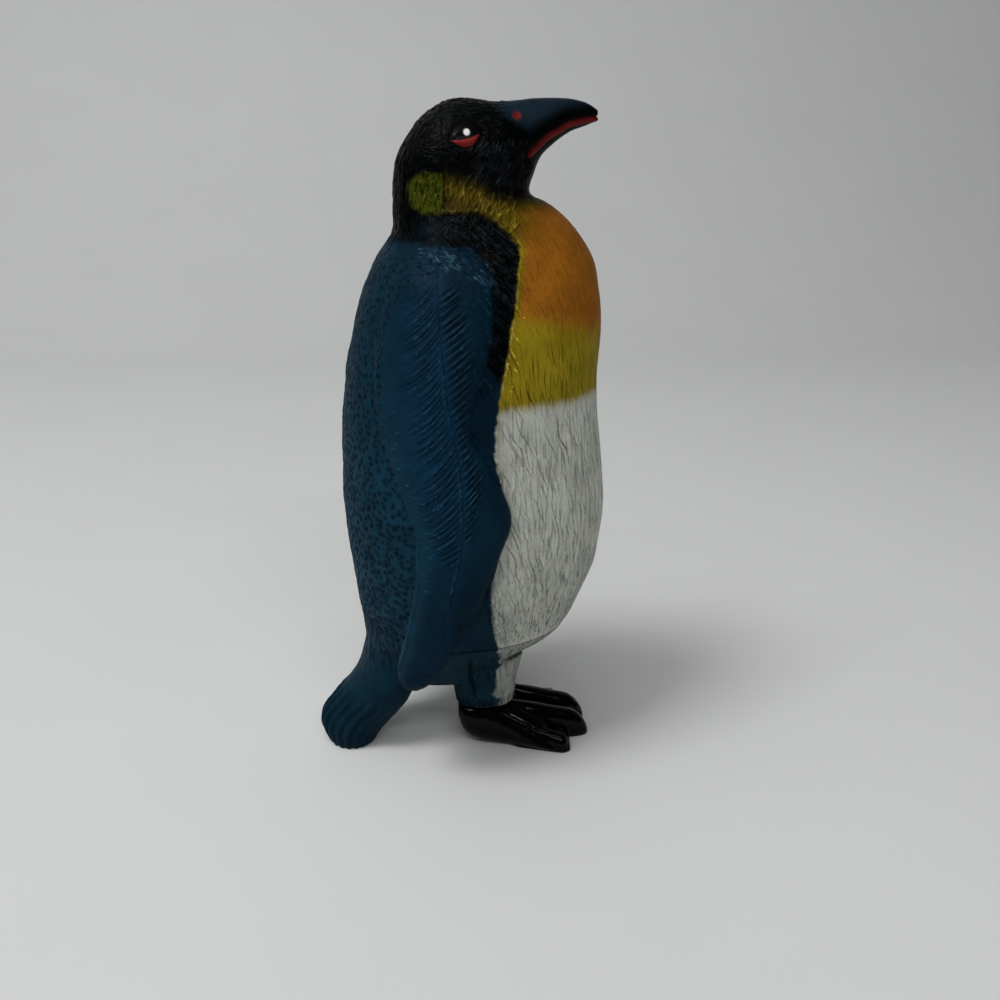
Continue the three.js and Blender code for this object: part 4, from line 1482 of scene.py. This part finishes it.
def painted_vinyl(name, wash_and_shade, dry_brush_and_highlight):
    """Sprayed paint on moulded vinyl: grooves darkened partly by dark paint and partly as painted shade,
    raised marks lightened partly by dry brushing and partly as painted highlight, a fine grain.
    """
    nodes = Nodes(name)
    cloud = nodes.noise(6.0, 3.0)
    grain = nodes.noise(0.45, 3.0)
    speck = nodes.noise(1.3, 2.0)
    colour = nodes.shaded(nodes.mark("paint", "Color"), nodes.ramp(cloud, 0.3, 0.7, 0.86, 1.1))
    colour = nodes.shaded(colour, nodes.ramp(grain, 0.3, 0.7, 0.9, 1.08))
    lines = nodes.ramp(nodes.noise(0.55, 3.0, (1.0, 1.0, 0.07)), 0.34, 0.5, 0.6, 1.0)
    colour = nodes.shaded(colour, lines, nodes.mark("streak"))
    # Grooves are darkened, partly dark paint and partly painted shade
    groove = nodes.math("MULTIPLY", nodes.mark("groove"), nodes.ramp(speck, 0.25, 0.6, 0.35, 1.0))
    colour = nodes.blend("MULTIPLY", groove, colour, wash_and_shade)
    # Raised marks are lightened, partly dry brush paint and partly painted highlight
    ridge_highlight = nodes.math("MULTIPLY", nodes.mark("ridge_highlight"), nodes.ramp(speck, 0.46, 0.66, 0.12, 1.0))
    colour = nodes.blend("ADD", ridge_highlight, colour, dry_brush_and_highlight)
    colour = nodes.shaded(colour, nodes.ramp(ridge_highlight, 0.0, 1.0, 1.0, 2.4))
    rough = nodes.math("ADD", nodes.mark("gloss"), nodes.ramp(grain, 0.3, 0.7, -0.05, 0.07))
    nodes.surface(Base_Color=colour, Roughness=rough, Specular_IOR_Level=0.03)
    nodes.bump(grain, 0.05, 0.5)
    return nodes.material


def gloss_black(name):
    """Black lacquer, dulled a little where it is handled."""
    nodes = Nodes(name)
    dust = nodes.noise(2.2, 4.0)
    dusty = nodes.ramp(dust, 0.5, 0.75, 0.0, 0.35)
    colour = nodes.blend("MIX", dusty, (0.0008, 0.0008, 0.001, 1), (0.003, 0.003, 0.0034, 1))
    rough = nodes.ramp(dust, 0.35, 0.7, 0.1, 0.18)
    nodes.surface(Base_Color=colour, Roughness=rough, Specular_IOR_Level=0.1)
    nodes.bump(nodes.noise(0.5, 2.0), 0.03, 0.3)
    return nodes.material


# Stage, in metres
FLOOR_COLOUR = (0.655, 0.665, 0.655)
FLOOR_NEAR = -1.6
FLOOR_FAR = 0.45
FLOOR_HALF = 2.2
SWEEP_RADIUS = 0.3
BACKDROP_TOP = 1.4

# Lamps: place, aim, width, depth, power
LAMPS = {
    "overhead": ((-0.3, 0.4, 1.1), (0, 0, 0.05), 1.2, 1.2, 6.1),
    "key": ((-0.26, 0.42, 1.06), (0, 0, 0.08), 0.32, 0.32, 5.7),
    "tube": ((-0.78, -0.1, 0.78), (0, 0, 0.0), 0.6, 0.012, 2.0),
}
WORLD_COLOUR = (0.9, 0.95, 1.0, 1)
WORLD_STRENGTH = 0.07

# The photograph's viewpoint: heading and height from the figure's own outline in it
CAMERA_PLACE = (-0.22125, 0.00808, 0.143)
CAMERA_HEADING = math.radians(-4.8)
CAMERA_PITCH = math.radians(20.0)
CAMERA_LENS = 36.0


def stage_material(name, colour):
    nodes = Nodes(name)
    low = tuple(0.97 * c for c in colour) + (1,)
    high = tuple(1.02 * c for c in colour) + (1,)
    cloudy = nodes.blend("MIX", nodes.noise(60.0, 3.0), low, high)
    nodes.surface(Base_Color=cloudy, Roughness=0.6, Specular_IOR_Level=0.2)
    return nodes.material


def sweep():
    """A pale floor that curves up into a backdrop behind the figure."""
    profile = [(FLOOR_NEAR, 0.0), (FLOOR_FAR, 0.0)]
    for turn in np.linspace(0, math.pi / 2, 24)[1:]:
        rise = SWEEP_RADIUS - SWEEP_RADIUS * math.cos(turn)
        profile.append((FLOOR_FAR + SWEEP_RADIUS * math.sin(turn), rise))
    profile.append((FLOOR_FAR + SWEEP_RADIUS, BACKDROP_TOP))
    points = [[x, y, z] for x, z in profile for y in (-FLOOR_HALF, FLOOR_HALF)]
    faces = [[2 * i + 2, 2 * i + 3, 2 * i + 1, 2 * i] for i in range(len(profile) - 1)]
    floor = mesh_object("floor", np.array(points), faces)
    floor.data.shade_smooth()
    floor.data.materials.append(stage_material("pale_floor", FLOOR_COLOUR))


def point_along(holder, direction):
    holder.rotation_euler = Vector(direction).to_track_quat("-Z", "Y").to_euler()


def lights():
    for name, (place, aim, width, depth, power) in LAMPS.items():
        lamp = bpy.data.lights.new(name, "AREA")
        lamp.shape = "RECTANGLE"
        lamp.size = width
        lamp.size_y = depth
        lamp.energy = power
        holder = in_scene(name, lamp)
        holder.location = place
        point_along(holder, Vector(aim) - Vector(place))
    world = bpy.data.worlds.new("studio")
    world.use_nodes = True
    background = world.node_tree.nodes["Background"]
    background.inputs["Color"].default_value = WORLD_COLOUR
    background.inputs["Strength"].default_value = WORLD_STRENGTH
    bpy.context.scene.world = world


def camera():
    lens = bpy.data.cameras.new("camera")
    lens.sensor_width = 36.0
    lens.lens = CAMERA_LENS
    holder = in_scene("camera", lens)
    holder.location = CAMERA_PLACE
    level = math.cos(CAMERA_PITCH)
    ahead = (level * math.cos(CAMERA_HEADING), level * math.sin(CAMERA_HEADING), -math.sin(CAMERA_PITCH))
    point_along(holder, ahead)
    bpy.context.scene.camera = holder


def build():
    camera()
    lights()
    sweep()
    bpy.context.scene.view_settings.view_transform = "Standard"
    front_paint = painted_vinyl("front_paint", (0.2, 0.2, 0.17, 1), (0.002, 0.003, 0.0035, 1))
    rear_paint = painted_vinyl("rear_paint", (0.3, 0.38, 0.42, 1), (0.002, 0.004, 0.005, 1))
    leg_paint = painted_vinyl("leg_paint", (0.2, 0.24, 0.26, 1), (0.002, 0.004, 0.005, 1))
    foot_gloss = gloss_black("foot_gloss")
    front, rear = shells()
    finished(front, "front_shell", front_paint)
    finished(rear, "rear_shell", rear_paint)
    finished(whole("leg_unit_skin", legs()), "leg_unit", leg_paint)
    above_floor = [(-CUT_FAR, 0), (CUT_FAR, 0), (CUT_FAR, CUT_FAR), (-CUT_FAR, CUT_FAR)]
    for side, name in ((-1, "right_foot"), (1, "left_foot")):
        finished(trimmed(name + "_skin", foot(side), above_floor), name, foot_gloss)


build()
